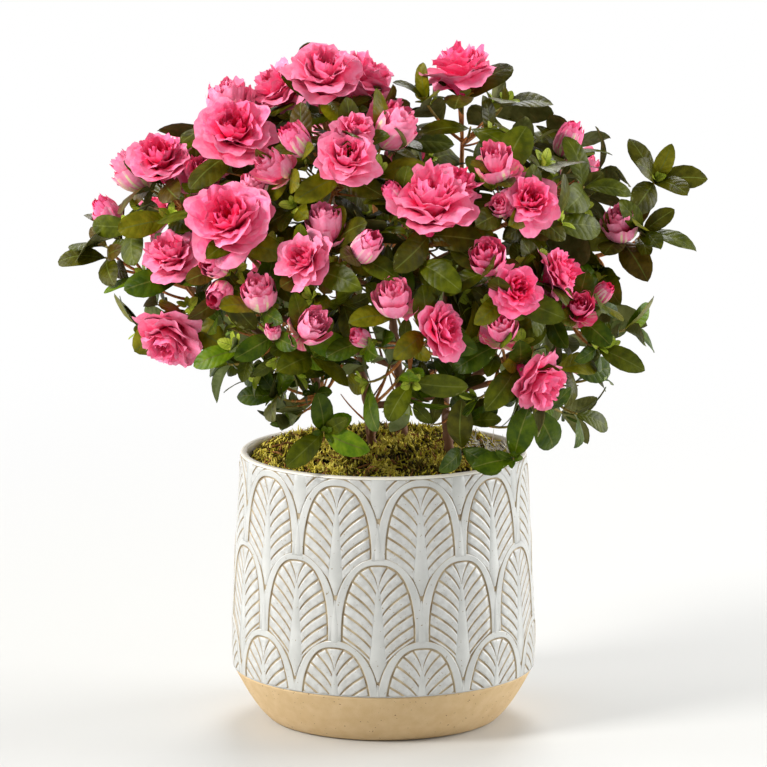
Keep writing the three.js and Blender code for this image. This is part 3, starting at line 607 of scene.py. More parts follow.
def add_rib(piece, middle, row):
    """The smooth rib up the middle of one leaf, which widens downwards until the arches close in."""
    p = PATTERN
    z = np.linspace(p["low"], min(p["tops"][row] - p["rib_start"], p["high"]), POINTS["rib"])
    half = np.minimum(rib_half(z, row), free_half(z, row) - p["gap"])
    is_wide = half > p["thinnest_rib"]
    add_strip(piece, middle, z[is_wide], half[is_wide], p["rib_out"], p["rib_foot"])


def add_post(piece, middle, row):
    """The plain post between two arches, from where they meet down to the arch below."""
    p = PATTERN
    top = p["tops"][row] + p["band_top"] - p["outer"][1] + POST["tail"]
    bottom = lap(row, POST["lap"])
    z = np.linspace(bottom, top, POINTS["post"])
    half = np.minimum(p["post_half"], POST["tip"] + POST["growth"] * (top - z))
    out, foot = p["band_out"] + POST["out"], p["band_out"] + POST["foot"]
    add_strip(piece, middle + PITCH / 2, z, half, out, foot)


def vein(k, row):
    """The line of vein k of a leaf, on its right side, from its rib to its arch."""
    p = PATTERN
    top = p["tops"][row]
    half, shoulder, roundness = p["inner"]
    inset = (half - p["gap"], shoulder, roundness)
    quarter = np.linspace(0, math.pi / 2, POINTS["outline"])
    depth = np.append(shoulder * (1 - np.cos(quarter)), 3 * shoulder)
    outline = np.stack([arch_half(depth, inset), top - p["gap"] - depth], axis=1)
    run = np.append(0, np.cumsum(np.linalg.norm(np.diff(outline, axis=0), axis=1)))
    reach = p["vein_first"] + p["vein_pitch"] * k
    end = np.array([np.interp(reach, run, outline[:, 0]), np.interp(reach, run, outline[:, 1])])
    start = np.array([p["vein_start"], top - p["rib_start"] - p["vein_drop"] * k])
    bend = start + (end - start) * p["vein_bend"]
    return bezier(np.linspace(0, 1, POINTS["vein"])[:, None], start, bend, end)


def trimmed(line, row):
    """The part of a line that its leaf has room for, in a few points, or None."""
    z = line[:, 1]
    room = (z > PATTERN["low"]) & (z < PATTERN["high"])
    aside = np.abs(line[:, 0])
    room &= aside < free_half(z, row) - PATTERN["gap"]
    room &= aside > rib_half(z, row) - PATTERN["under_rib"]
    kept = np.nonzero(room)[0]
    if len(kept) < POINTS["fewest"]:
        return None
    return line[np.linspace(kept[0], kept[-1], POINTS["strip"]).round().astype(int)]


def add_leaflets(piece, middle, row):
    """The strips of one leaf, which fan out from its rib to its arch with a groove between them."""
    p = PATTERN
    shares = np.linspace(p["groove"], 1 - p["groove"], POINTS["across"])
    veins = [vein(k, row) for k in range(p["veins"] + 1)]
    strips = [[upper * (1 - w) + lower * w for w in shares] for upper, lower in zip(veins, veins[1:])]
    strips += [[line * (-1, 1) for line in strip] for strip in strips]
    t = np.linspace(0, 1, len(veins[0])) ** 2
    rise = p["tops"][row] - p["gap"] - veins[0][-1, 1]
    strips.append([veins[0] * (w, 1) + np.stack([0 * t, rise * (1 - w * w) * t], axis=1)
                   for w in np.linspace(-p["top_spread"], p["top_spread"], POINTS["across"])])
    for strip in strips:
        lines = [line for line in (trimmed(line, row) for line in strip) if line is not None]
        if len(lines) > 1:
            add_raised(piece, np.array(lines) + (middle, 0), p["leaf_out"], "glaze_leaf")


def relief():
    """The whole raised pattern, row by row round the wall."""
    piece = Piece("planter_relief", ["glaze", "glaze_leaf", "groove"])
    for row in range(len(PATTERN["tops"])):
        for k in range(REPEATS):
            middle = math.radians(PATTERN["first"]) * SCALE_RADIUS + PITCH * (k + 0.5 * (row % 2))
            if row > 0:
                add_arch(piece, middle, row)
                add_post(piece, middle, row)
            add_rib(piece, middle, row)
            add_leaflets(piece, middle, row)
    return piece


def turned(name, profile, finishes):
    """A lathe piece from (radius, height, finish of the band up to the next point)."""
    sides = 192
    piece = Piece(name, finishes)
    rings = np.array([[(r * math.sin(a), -r * math.cos(a), z) for a in angles(sides)]
                      for r, z, _ in profile])
    names = [band for _, _, band in profile[:-1] for _ in range(sides)]
    piece.add(rings, grid_faces(len(profile), sides, True, True), finish=names)
    return piece


def wall_levels(low, high, step):
    return np.linspace(low, high, max(2, round((high - low) / step)))


# The wall's details as (radius, height): the lip beyond the rim's radius, the step from the glaze to
# the bare clay beyond the glaze's, and the sole, a flat ring round a hollow, beyond the foot's.
LIP = ((0.4, 167.0), (-0.3, 167.9), (-1.2, 168.2), (-3.2, 168.2), (-4, 167.5))
LIP_GLAZE = (0.3, 166.6)
INSIDE = (166, 160, 152, 140)  # heights
GLAZE_STEP = ((-1.2, 33.0), (0.3, 33.1))
CLAY_STEP = (-2, 33.2)
SOLE = ((-5, 0.6), (-4, 0), (-0.6, 0))
SOLE_MIDDLE = (0.02, 0.6)
SOLE_EDGE = {"in": 0.5, "height": 0.6, "above": 1.6}  # heights as shares of the rounded edge
WALL_STEP, FOOT_STEP = 4, 1.6


def planter():
    """The glazed wall with its rim and inside, the bare clay foot, and the raised pattern."""
    p = PLANTER
    wall, edge = (PATTERN["low"], PATTERN["high"], WALL_STEP), p["edge"]
    slant = (edge * SOLE_EDGE["above"], p["glaze_height"], FOOT_STEP)
    rim = float(outer_radius(p["height"]))
    glazed = [(p["glaze_radius"] + out, z, "glaze") for out, z in GLAZE_STEP]
    glazed += [(float(outer_radius(z)) + PATTERN["floor_out"], z, "groove")
               for z in wall_levels(*wall)]
    glazed += [(rim + LIP_GLAZE[0], LIP_GLAZE[1], "glaze")]
    # The lip and the inside wall take the lighter rim finish: painted highlight on the lip, painted light
    # on the shaded inside.
    glazed += [(rim + out, z, "rim") for out, z in LIP]
    glazed += [(inner_radius(z), z, "rim") for z in INSIDE]

    clay = [(*SOLE_MIDDLE, "clay")]
    clay += [(p["foot_radius"] + out, z, "clay") for out, z in SOLE]
    clay += [(float(outer_radius(edge)) - SOLE_EDGE["in"], edge * SOLE_EDGE["height"], "clay")]
    clay += [(float(outer_radius(z)), z, "clay") for z in wall_levels(*slant)]
    clay += [(p["glaze_radius"] + CLAY_STEP[0], CLAY_STEP[1], "clay")]
    return [turned("planter_glaze", glazed, ["groove", "glaze", "rim"]),
            turned("planter_foot", clay, ["clay"]), relief()]


# ---------------------------------------------------------------- moss
def inner_radius(z):
    return float(outer_radius(z)) - PLANTER["wall"]


def moss_top(x, y):
    """The height of the moss, as in the model."""
    share = np.hypot(x, y) / inner_radius(MOSS["edge_top"])
    waves = np.sin(0.17 * x + 1.3) * np.sin(0.21 * y + 0.4) + 0.6 * np.sin(0.31 * x - 0.27 * y)
    return MOSS["edge_top"] + MOSS["mound"] * (1 - share * share) + MOSS["bump"] * waves


def heap(y):
    """How far the loose moss stands above the model's, which grows towards the back."""
    t = np.clip((y - MOSS_BACK["from"]) / (MOSS_BACK["to"] - MOSS_BACK["from"]), 0, 1)
    return MOSS_BACK["rise"] * smooth(t)


def patches(x, y, scale, offset):
    return noise.noise(Vector((scale * x, scale * y, offset)))


def clump(x, y):
    """How thick the moss grows at a place, from about -1 to 1."""
    return patches(x, y, 0.11, 3.7) + 0.6 * patches(x, y, 0.31, 9.1)


MOSS_RADIUS = inner_radius(MOSS["edge_top"]) - 0.3
BED = {"rings": 46, "sides": 150, "depth": 2.6, "clump": 2.4, "edge_dip": 1.0, "edge_bumps": 1.8}
STRANDS = {
    "count": 11500, "thinnest": -0.18, "round_stems": 4.5, "edge": 1.2, "depth": 1.9,
    "clump": 2.6, "unevenness": 1.4, "lean": (30, 100), "curl": (0, 130), "length": (1.5, 3.3),
    "radius": (0.45, 0.85), "rim": 9, "lean_in": 1.3, "curl_in": 0.8,
    "olive": 0.3, "green": 0.6, "brown": 0.1,
}
LICHEN = {"count": 130, "middle": (68, 10), "radius": 14, "stretch": 1.5, "edge": 4, "lean": (40, 88),
          "curl": (20, 170), "length": (5, 9), "thickness": (0.3, 0.42), "curl_in": 0.6}
# Bits of twig that lie on the moss.
LITTER = {"count": 26, "length": (7, 18), "height": 1.6, "within": 0.85, "rise": (-8, 12), "bow": 1.2,
          "radii": (0.5, 0.8, 0.4)}


STRAND_TAPER = np.array([1, 1, 0.85, 0.2])
ODD_WAY = np.array([0.31, 0.83, 0.46])  # a direction that strands hardly ever follow


def scattered(rng, count, radius):
    """Places dealt out evenly over a disc."""
    reach = radius * np.sqrt(rng.uniform(0, 1, count))
    turn = rng.uniform(0, 2 * math.pi, count)
    return reach * np.cos(turn), reach * np.sin(turn)


def random_ways(rng, count, least, most):
    """Directions that lean between two angles from upright."""
    turn = rng.uniform(0, 2 * math.pi, count)
    rise = np.radians(90 - rng.uniform(least, most, count))
    return np.stack([np.cos(rise) * np.cos(turn), np.cos(rise) * np.sin(turn), np.sin(rise)], axis=1)


def add_strands(piece, feet, ways, curls, lengths, radii, finishes):
    """Small curled strands, all at once: each a three-sided tube."""
    rows, sides = len(STRAND_TAPER), 3
    t = np.linspace(0, 1, rows)
    middles = feet[:, None] + lengths[:, None, None] * (
        t[None, :, None] * ways[:, None] + (t ** 2)[None, :, None] * curls[:, None])
    along = ways[:, None] + 2 * t[None, :, None] * curls[:, None]
    along /= np.linalg.norm(along, axis=2)[..., None]
    side = np.cross(along, ODD_WAY)
    side /= np.linalg.norm(side, axis=2)[..., None]
    other = np.cross(along, side)
    widths = radii[:, None] * STRAND_TAPER
    a = angles(sides)
    points = middles[:, :, None] + widths[:, :, None, None] * (
        np.cos(a)[:, None] * side[:, :, None] + np.sin(a)[:, None] * other[:, :, None])
    faces = grid_faces(rows, sides, True, True)
    for strand, finish_name in zip(points, finishes):
        piece.add(strand, faces, finish=finish_name)


def moss_bed():
    """The dark mound under the strands, uneven where the moss is thick and ragged at its edge."""
    bed = Piece("moss_bed", ["moss_ground"])
    rows = []
    for k in range(BED["rings"] + 1):
        share = max(k / BED["rings"], 0.004)
        row = []
        for a in angles(BED["sides"]):
            x, y = MOSS_RADIUS * share * math.cos(a), MOSS_RADIUS * share * math.sin(a)
            dip = (BED["edge_dip"] + BED["edge_bumps"] * patches(x, y, 0.25, 5.2)) * share ** 8
            top = float(moss_top(x, y) + heap(y))
            row.append((x, y, top - BED["depth"] + BED["clump"] * clump(x, y) - dip))
        rows.append(row)
    bed.add(np.array(rows), grid_faces(BED["rings"] + 1, BED["sides"], True), finish="moss_ground")
    return bed


def add_moss_strands(piece, rng, stem_feet):
    """The strands, in patches of green and olive, which lean in from the pot's wall."""
    m = STRANDS
    x, y = scattered(rng, m["count"], MOSS_RADIUS)
    thick = np.array([clump(a, b) for a, b in zip(x, y)])
    clear = np.min([np.hypot(x - foot[0], y - foot[1]) for foot in stem_feet], axis=0)
    keep = (thick > m["thinnest"]) & (clear > m["round_stems"])
    keep &= np.hypot(x, y) < MOSS_RADIUS - m["edge"]
    x, y, thick = x[keep], y[keep], thick[keep]
    count = len(x)
    unevenness = rng.uniform(-m["unevenness"], m["unevenness"], count)
    z = moss_top(x, y) + heap(y) - m["depth"] + m["clump"] * thick + unevenness
    feet = np.stack([x, y, z], axis=1)
    ways, curls = random_ways(rng, count, *m["lean"]), random_ways(rng, count, *m["curl"])
    lengths, radii = rng.uniform(*m["length"], count), rng.uniform(*m["radius"], count)
    inwards = np.clip((np.hypot(x, y) - MOSS_RADIUS + m["rim"]) / m["rim"], 0, 1)[:, None]
    ways[:, :2] -= inwards * feet[:, :2] / MOSS_RADIUS * m["lean_in"]
    curls[:, :2] -= inwards * feet[:, :2] / MOSS_RADIUS * m["curl_in"]
    patch = np.array([noise.noise(Vector(0.05 * p) + Vector((1.3, 0, 0))) for p in feet])
    deal = rng.uniform(0, 1, count) + 0.9 * patch
    is_olive, is_green = deal < m["olive"], deal < m["green"]
    names = np.select([is_olive, is_green], ["moss_olive", "moss_green"], "moss_yellow")
    names = np.where(rng.uniform(0, 1, count) < m["brown"], "moss_brown", names)
    add_strands(piece, feet, ways, curls, lengths, radii, names)


def add_lichen(piece, rng):
    """The pale lichen that curls over the moss on the right."""
    m = LICHEN
    x, y = scattered(rng, m["count"], m["radius"])
    x, y = m["middle"][0] + x, m["middle"][1] + m["stretch"] * y
    keep = np.hypot(x, y) < MOSS_RADIUS - m["edge"]
    x, y = x[keep], y[keep]
    count = len(x)
    feet = np.stack([x, y, moss_top(x, y)], axis=1)
    curls = random_ways(rng, count, *m["curl"])
    curls[:, :2] -= m["curl_in"] * feet[:, :2] / MOSS_RADIUS
    add_strands(piece, feet, random_ways(rng, count, *m["lean"]), curls, rng.uniform(*m["length"], count),
                rng.uniform(*m["thickness"], count), ["lichen"] * count)


def add_litter(piece, rng):
    for _ in range(LITTER["count"]):
        reach = MOSS_RADIUS * LITTER["within"] * math.sqrt(rng.uniform())
        x, y, _ = reach * heading(rng.uniform(0, 360), 0)
        way = heading(rng.uniform(0, 360), rng.uniform(*LITTER["rise"]))
        along = way * rng.uniform(*LITTER["length"])
        middle = np.array([x, y, float(moss_top(x, y)) + LITTER["height"]])
        stick = [middle - along / 2, middle + UP * rng.uniform(0, LITTER["bow"]), middle + along / 2]
        add_tube(piece, stick, LITTER["radii"], 5, "moss_brown", 0.2)


def moss(stem_feet):
    rng = np.random.default_rng(SEEDS["moss"])
    strands = Piece("moss_strands", MOSS_TONES)
    add_moss_strands(strands, rng, stem_feet)
    add_lichen(strands, rng)
    add_litter(strands, rng)
    return [moss_bed(), strands]


# ---------------------------------------------------------------- keeping clear
def apart(a, b, gap, most_steps=60):
    """True if two convex sets of points are further apart than a gap (Gilbert's algorithm)."""
    near = a.mean(axis=0) - b.mean(axis=0)
    for _ in range(most_steps):
        size = math.sqrt(near @ near)
        if size < gap / 10:
            return False
        corner = a[np.argmin(a @ near)] - b[np.argmax(b @ near)]
        if corner @ near / size > gap:
            return True
        edge = corner - near
        length = edge @ edge
        if length < 1e-12:
            return False
        near = near + edge * min(1.0, max(0.0, -(near @ edge) / length))
    return False


def lowest(heights, p):
    """The lowest height allowed at a point, from a pair of them: over the pot and outside it."""
    is_over_pot = math.hypot(p[0], p[1]) < PLANTER["belly_radius"] + 2
    return heights[0 if is_over_pot else 1]


class Space:
    """The convex sets of points that are taken, each with the names of its node and shoot."""

    def __init__(self, room=30000):
        self.middles, self.radii = np.zeros((room, 3)), np.zeros(room)
        self.points, self.nodes, self.shoots = [], [], []

    def take(self, points, node, shoot=None):
        k = len(self.points)
        self.middles[k] = points.mean(axis=0)
        self.radii[k] = np.linalg.norm(points - self.middles[k], axis=1).max()
        self.points.append(points)
        self.nodes.append(node)
        self.shoots.append(shoot)

    def is_clear(self, points, node=None, shoot=None, gap=2 * GAP):
        """True if points are clear of the pot and of all that is taken, but for what their own node
        or shoot has, where it is given."""
        if not all(p[2] > lowest(LOWEST["leaf"], p) for p in points):
            return False
        count = len(self.points)
        middle = points.mean(axis=0)
        radius = np.linalg.norm(points - middle, axis=1).max()
        distances = np.linalg.norm(self.middles[:count] - middle, axis=1)
        for k in np.nonzero(distances <= self.radii[:count] + radius + gap)[0]:
            if (shoot is not None and self.shoots[k] == shoot) or (node and self.nodes[k] == node):
                continue
            if not apart(points, self.points[k], gap):
                return False
        return True


SPACE = Space()


def take_stretches(rings, node, shoot=None):
    for lower, upper in zip(rings, rings[1:]):
        SPACE.take(np.concatenate([lower, upper]), node, shoot)


# ---------------------------------------------------------------- stems and boughs
def limb_rings(curve, radius_at, shape, level_foot=False):
    """The model's rings of a limb, which keep other growth clear of it."""
    rings = []
    for k in range(shape["segments"] + 1):
        t = k / shape["segments"]
        axis = UP if level_foot and k == 0 else curve.way(t)
        rings.append(ring_around(curve.at(t), axis, radius_at(t), shape["sides"]))
    return rings


def spray_base(start, centre):
    """The point short of a spray's middle where its stem or bough ends and its own spine begins."""
    span = centre - start
    length = np.linalg.norm(span)
    return centre - span / length * min(SPRAY["base_reach"], SPRAY["base_share"] * length)


def make_stem(foot, radii, push, feeds):
    """A stem from the soil to the foot of the spray that it feeds, flared at its foot."""
    start = np.array([*foot, SOIL_TOP + GAP])
    tip = spray_base(start, SPRAYS[feeds]["centre"])
    curve = Curve(start, (start + tip) / 2 + push, tip)
    height = tip[2] - start[2]

    def radius_at(t):
        return taper(*radii)(t) * (1 + FLARE["share"] * math.exp(-t * height / FLARE["height"]))

    return {"curve": curve, "radii": radii, "radius_at": radius_at, "feeds": feeds}


def bough_curve(stem, share, centre, seed):
    """A bough leaves its stem's middle line outwards, then bends up to its spray."""
    random = stream(seed)
    start = stem["curve"].at(share)
    end = spray_base(start, centre)
    span = end - start
    sway = np.array([random() - 0.5, random() - 0.5, random() - 0.5])
    bend = start + BOUGH_BEND * span + sway * BOUGH["sway"] * np.linalg.norm(span)
    return Curve(start, bend, end)


# The bark of a limb: its rings, how they crowd towards the foot, its sides, its relief, and how far
# the relief of one limb is set from the next.
BARK = {"stem": (90, 1.25, 18, 0.34, 7.3), "bough": (44, 1, 12, 0.26, 3.1)}


def add_bark(piece, curve, radius_at, kind, index):
    rings, crowding, sides, relief, step = BARK[kind]
    radii = [radius_at(t) for t in np.linspace(0, 1, rings) ** crowding]
    add_tube(piece, curve.points(rings, crowding), radii, sides, "bark", relief, step * index)


def grow_limbs():
    """The stems and boughs, their bark, and where each spray's spine begins."""
    bark = Piece("bark", ["bark"])
    bases, limbs = {}, {}
    stems = {name: make_stem(*sizes) for name, sizes in STEMS.items()}
    for index, (name, stem) in enumerate(stems.items()):
        curve, radius_at = stem["curve"], stem["radius_at"]
        take_stretches(limb_rings(curve, radius_at, STEM, True), name)
        bases[stem["feeds"]] = (curve.end, curve.way(1))
        limbs[name] = curve
        add_bark(bark, curve, radius_at, "stem", index)
    for index, (name, spray) in enumerate(SPRAYS.items()):
        if spray["bough"] is None:
            continue
        stem, share = stems[spray["bough"][0]], spray["bough"][1]
        curve = bough_curve(stem, share, spray["centre"], index + 1)
        start = min(BOUGH["start"], BOUGH["start_share"] * taper(*stem["radii"])(share))
        radius_at = taper(start, BOUGH["end"])
        take_stretches(limb_rings(curve, radius_at, BOUGH), "bough_" + name)
        bases[name] = (curve.end, curve.way(1))
        limbs["bough_" + name] = curve
        add_bark(bark, curve, radius_at, "bough", index)
    return bark, bases, limbs, [stem["curve"].start for stem in stems.values()]


# Thin bare twigs on the stems and boughs, low in the shrub where the leaves have dropped.
BARE = {
    "per_stem": 34, "per_bough": 7, "along": (0.2, 0.95), "length": (22, 50), "rise": (-0.1, 0.9),
    "forward": 0.9, "turn_up": 0.7, "aside": (-0.8, 0.8), "lowest": 184, "highest": 290, "spacing": 7,
    "clearance": 0.8, "radius": 0.85, "spread": (0.8, 1.3), "tip": 0.3, "points": 8, "brown": 0.6,
}


def bare_twig(rng, curve):
    """The line of a twig that leaves a limb at a random place and bends upwards."""
    t, angle = rng.uniform(*BARE["along"]), rng.uniform(0, 2 * math.pi)
    length, rise = rng.uniform(*BARE["length"]), rng.uniform(*BARE["rise"])
    start, way = curve.at(t), curve.way(t)
    u, v = sideways(way)
    out = unit(u * math.cos(angle) + v * math.sin(angle) + way * BARE["forward"] + UP * rise)
    bend = start + out * length * 0.5
    further = unit(out + UP * BARE["turn_up"] + v * rng.uniform(*BARE["aside"]))
    return Curve(start, bend, bend + further * length * 0.5)


def grow_bare_twigs(limbs):
    piece = Piece("bare_twigs", ["bark", "twig_bark"])
    rng = np.random.default_rng(SEEDS["bare_twigs"])
    starts = []
    for name, curve in limbs.items():
        for _ in range(BARE["per_stem" if name.startswith("stem") else "per_bough"]):
            line = bare_twig(rng, curve)
            if min(line.start[2], line.end[2]) <= BARE["lowest"] or line.end[2] >= BARE["highest"]:
                continue
            if any(np.linalg.norm(line.start - other) < BARE["spacing"] for other in starts):
                continue
            twig = line.points(BARE["points"])
            if not SPACE.is_clear(twig[2:], node=name, gap=BARE["clearance"]):
                continue
            SPACE.take(twig, name)
            starts.append(line.start)
            radii = np.linspace(BARE["radius"] * rng.uniform(*BARE["spread"]), BARE["tip"], len(twig))
            bark_name = "twig_bark" if rng.uniform() < BARE["brown"] else "bark"
            add_tube(piece, twig, radii, 5, bark_name, 0.15)
    return piece


# ---------------------------------------------------------------- shoots
def new_shoot(spray, kind, position, way, turn, size, index, number=None, random=None):
    """A shoot: where it ends and its way there, its whorl's turn, the size of its flower (0 where it
    has none), its number among its spray's main shoots, and its own stream of numbers."""
    return {"spray": spray, "kind": kind, "way": way, "turn": turn, "position": position,
            "end": position, "size": size, "random": random, "index": index, "number": number,
            "leaves": []}


def find_shoots(bases):
    """The shoots of all sprays, as in the model: the main ones, then leafy ones on a spiral."""
    shoots = []

    def add(spray, kind, out, reach, size, number=None):
        position = SPRAYS[spray]["centre"] + out * reach
        way = unit(out + UP * SPRAY["lean"]) if kind == "leafy" else out
        random = stream(SEEDS["model_shoots"] + len(shoots))
        turn = math.radians(WHORL["turn"] + WHORL["turn_spread"] * (random() - 0.5))
        shoots.append(new_shoot(spray, kind, position, way, turn, size, len(shoots), number, random))

    for spray, row in SPRAYS.items():
        for number, (kind, bearing, rise, reach, size) in enumerate(row["shoots"]):
            add(spray, kind, heading(bearing, rise), reach, size, number)
    for spray, row in SPRAYS.items():
        left = row["leafy"]
        for out in spiral(bases[spray][0], row["centre"], SPIRAL_STEPS, SPRAY["widest"]):
            position = row["centre"] + out * SPRAY["reach"]
            if left == 0:
                break
            if has_room(position, spray, shoots, SPRAY["spacing"]):
                add(spray, "leafy", out, SPRAY["reach"], 0)
                left -= 1
    return shoots


def spiral(start, centre, steps, widest):
    """Directions from a spray's middle, dealt out by the golden angle round the way it faces."""
    outward = unit(centre - start)
    u, v = sideways(outward)
    for k in range(steps):
        cosine = 1 - (k + 0.5) / steps * (1 - math.cos(math.radians(widest)))
        sine = math.sqrt(1 - cosine * cosine)
        a = k * GOLDEN_ANGLE
        yield outward * cosine + u * sine * math.cos(a) + v * sine * math.sin(a)


def has_room(position, spray, shoots, spacing):
    """True if a shoot here is high enough, not crowded, and outside the other sprays."""
    if position[2] < lowest(LOWEST["shoot"], position):
        return False
    if any(np.linalg.norm(s["position"] - position) < spacing for s in shoots):
        return False
    return all(np.linalg.norm(row["centre"] - position) >= SPRAY["reach"]
               for name, row in SPRAYS.items() if name != spray)


def twig_curve(spine, way, end, bow):
    """A twig leaves the spine the higher, the more it faces the spine's way, and ends along its own."""
    share = SPINE["lowest_fork"] + (1 - SPINE["lowest_fork"]) * (0.5 + 0.5 * (way @ spine["way"]))
    start = spine["start"] + (spine["tip"] - spine["start"]) * share
    length = np.linalg.norm(end - start)
    bend = end - way * TWIG["approach"] * length + sideways(way)[0] * bow * length
    return Curve(start, bend, end)


def twig_rings(curve, way, end, turn):
    """The model's rings of a twig, the last two of them round its knot."""
    sides, shares = TWIG["sides"], (0, TWIG["middle"])
    thin = [ring_around(curve.at(t), curve.way(t), TWIG["start"], sides, turn) for t in shares]
    knot = [ring_around(p, way, TWIG["end"], sides, turn) for p in (end - way * TWIG["knot"], end)]
    return thin + knot


def flower_rings(kind, middle, way, size):
    """The model's outline of a flower, which its petals fill."""
    f = FLOWERS[kind]
    is_open = f["corners"] > 5

    def ring(radii, forward):
        points = ring_around(middle, way, 1, f["corners"])
        odd = np.arange(f["corners"]) % 2
        out = (points - middle) * size * np.where(odd, radii[1], radii[0])[:, None]
        ruffle = RUFFLE * np.where(odd, -1, 1) if is_open else np.zeros(len(odd))
        return middle + out + way * (size * (forward + ruffle))[:, None]

    rings = [ring((f["lobe"], f["notch"]), f["rim"]),
             ring((f["inner"], f["inner"] * (INNER_NOTCH if is_open else 1)), f["crown"])]
    return np.concatenate([*rings, [middle + way * size * f["heart"]]])


def place_flower(shoot):
    """Places a flower, smaller where it lacks room, and moves its twig's end to its foot."""
    for share in FLOWER_SHRINK:
        size = shoot["size"] * share
        outline = flower_rings(shoot["kind"], shoot["position"], shoot["way"], size)
        end = shoot["position"] - shoot["way"] * size * FLOWERS[shoot["kind"]]["foot"]
        points = np.concatenate([[end], outline])
        if SPACE.is_clear(points):
            SPACE.take(points, shoot["spray"], shoot["index"])
            shoot.update(size=size, end=end)
            return True
    return False


def place_twig(spine, shoot):
    """Grows a shoot's twig, bent aside where the straight way is blocked."""
    for bow in TWIG_BOWS:
        curve = twig_curve(spine, shoot["way"], shoot["end"], bow)
        rings = twig_rings(curve, shoot["way"], shoot["end"], shoot["turn"])
        stretches = [np.concatenate(pair) for pair in zip(rings, rings[1:])]
        if all(SPACE.is_clear(points, node=shoot["spray"]) for points in stretches):
            take_stretches(rings, shoot["spray"], shoot["index"])
            shoot.update(rings=rings, curve=curve)
            return True
    return False


def leaf_frame(side, way, lift):
    """Where a leaf leaves one side of its twig's knot, and its directions along, across and over."""
    across = unit(side[1] - side[0])
    out = np.cross(across, way)
    along = out * math.cos(lift) + way * math.sin(lift)
    return side.mean(axis=0), along, across, -np.cross(across, along)


def leaf_outline(frame_of_leaf, share):
    root, along, across, over = frame_of_leaf
    middle = root + along * (LEAF["widest"] * LEAF["length"] * share) + over * (LEAF["raised"] * share)
    half = across * (LEAF["width"] / 2 * share)
    tip = root + (along * LEAF["length"] - over * LEAF["droop"]) * share
    return np.array([middle - half, tip, middle + half])


def try_leaf(shoot, side, lift, share, tries=LEAF_TRIES):
    """Grows one leaf where there is room for it."""
    for extra, shrink in tries:
        frame_of_leaf = leaf_frame(side, shoot["way"], math.radians(lift + extra))
        points = np.concatenate([side, leaf_outline(frame_of_leaf, share * shrink)])
        if SPACE.is_clear(points, shoot=shoot["index"]):
            SPACE.take(points, shoot["spray"], shoot["index"])
            shoot["leaves"].append((frame_of_leaf, share * shrink))
            return


def knot_sides(shoot):
    lower, upper = shoot["rings"][-2:]
    pairs = [(i, (i + 1) % len(lower)) for i in range(len(lower))]
    return [np.array([lower[i], lower[k], upper[k], upper[i]]) for i, k in pairs]


def grow_leaves(shoot):
    """The model's leaves of a shoot, one for each side of its knot that has room for one."""
    for side in knot_sides(shoot):
        lift = WHORL["lift"] + WHORL["lift_spread"] * (shoot["random"]() - 0.5)
        share = 1 + LEAF["size_spread"] * (shoot["random"]() - 0.5)
        try_leaf(shoot, side, lift, share)


# The finer growth that the model leaves out: more leaves in each whorl, leaves down the twigs, and
# small leafy shoots inside each spray. It stays inside the sprays, so that the crown's edge stays open.
FINE = {
    "whorl_lift": 44, "whorl_spread": 24, "whorl_share": 0.8, "share_spread": 0.24, "whorl_turn": 0.2,
    "twig_steps": (0.62, 0.8), "twig_share": 0.64, "twig_lift": 35, "twig_lift_spread": 15,
    "twig_spread": (0.8, 1.2), "knot": 0.6, "side": (0.9, 0.6),
    "reaches": (25, 16), "spacing": 15, "steps": 40, "widest": 150, "within": 46, "lowest": 196,
    "lean": (0.3, 1.3), "turn": (0, 2), "lift": (-10, 30), "share": (0.62, 0.9),
}
FIRST_SMALL_SHOOT = 5000  # their indices start here, above all of the model's
# Shoots of the model's filling-in that stay bare in full detail.
UNDRESSED = (("right_arm", None), ("left_arm", 3))
FINE_TRIES = ((0, 1), (18, 0.9), (-20, 0.85), (0, 0.7))


def knot_side_at(middle, way, angle):
    """A small side of a twig that faces an angle round it, for a leaf to leave from."""
    u, v = sideways(way)
    out = u * math.cos(angle) + v * math.sin(angle)
    width, off = FINE["side"]
    across = np.cross(way, out) * width
    root = middle + out * off
    return np.array([root - across, root + across, root + across + way, root - across + way])


def fine_leaf(shoot, side, lift, share):
    """Tries one of the extra leaves, where its tip stays inside the crown."""
    along = leaf_frame(side, shoot["way"], math.radians(lift))[1]
    tip = side.mean(axis=0) + along * LEAF["length"] * share
    nearest = min(np.linalg.norm(tip - row["centre"]) for row in SPRAYS.values())
    within = (*SPRAYS[shoot["spray"]]["fullness"], FINE["within"])[2]
    if tip[2] > lowest(LOWEST["fine_leaf"], tip) and nearest < within:
        try_leaf(shoot, side, lift, share, FINE_TRIES)


def thicken_whorl(shoot, rng):
    """Adds leaves between those of a shoot's whorl, and some further down its twig."""
    fullness = SPRAYS[shoot["spray"]]["fullness"][0]
    knot = shoot["end"] - shoot["way"] * TWIG["knot"] * FINE["knot"]
    for k in range(TWIG["sides"]):
        turn = rng.uniform(-FINE["whorl_turn"], FINE["whorl_turn"])
        angle = shoot["turn"] + k * 2 * math.pi / TWIG["sides"] + turn
        lift = FINE["whorl_lift"] + rng.uniform(-0.5, 0.5) * FINE["whorl_spread"]
        share = FINE["whorl_share"] + rng.uniform(-0.5, 0.5) * FINE["share_spread"]
        if rng.uniform() < fullness:
            fine_leaf(shoot, knot_side_at(knot, shoot["way"], angle), lift, share)
    for step in FINE["twig_steps"]:
        angle = rng.uniform(0, 2 * math.pi)
        lift = FINE["twig_lift"] + rng.uniform(-FINE["twig_lift_spread"], FINE["twig_lift_spread"])
        way = shoot["curve"].way(step)
        side = knot_side_at(shoot["curve"].at(step), way, angle)
        if rng.uniform() < fullness:
            share = FINE["twig_share"] * rng.uniform(*FINE["twig_spread"])
            fine_leaf({**shoot, "way": way}, side, lift, share)


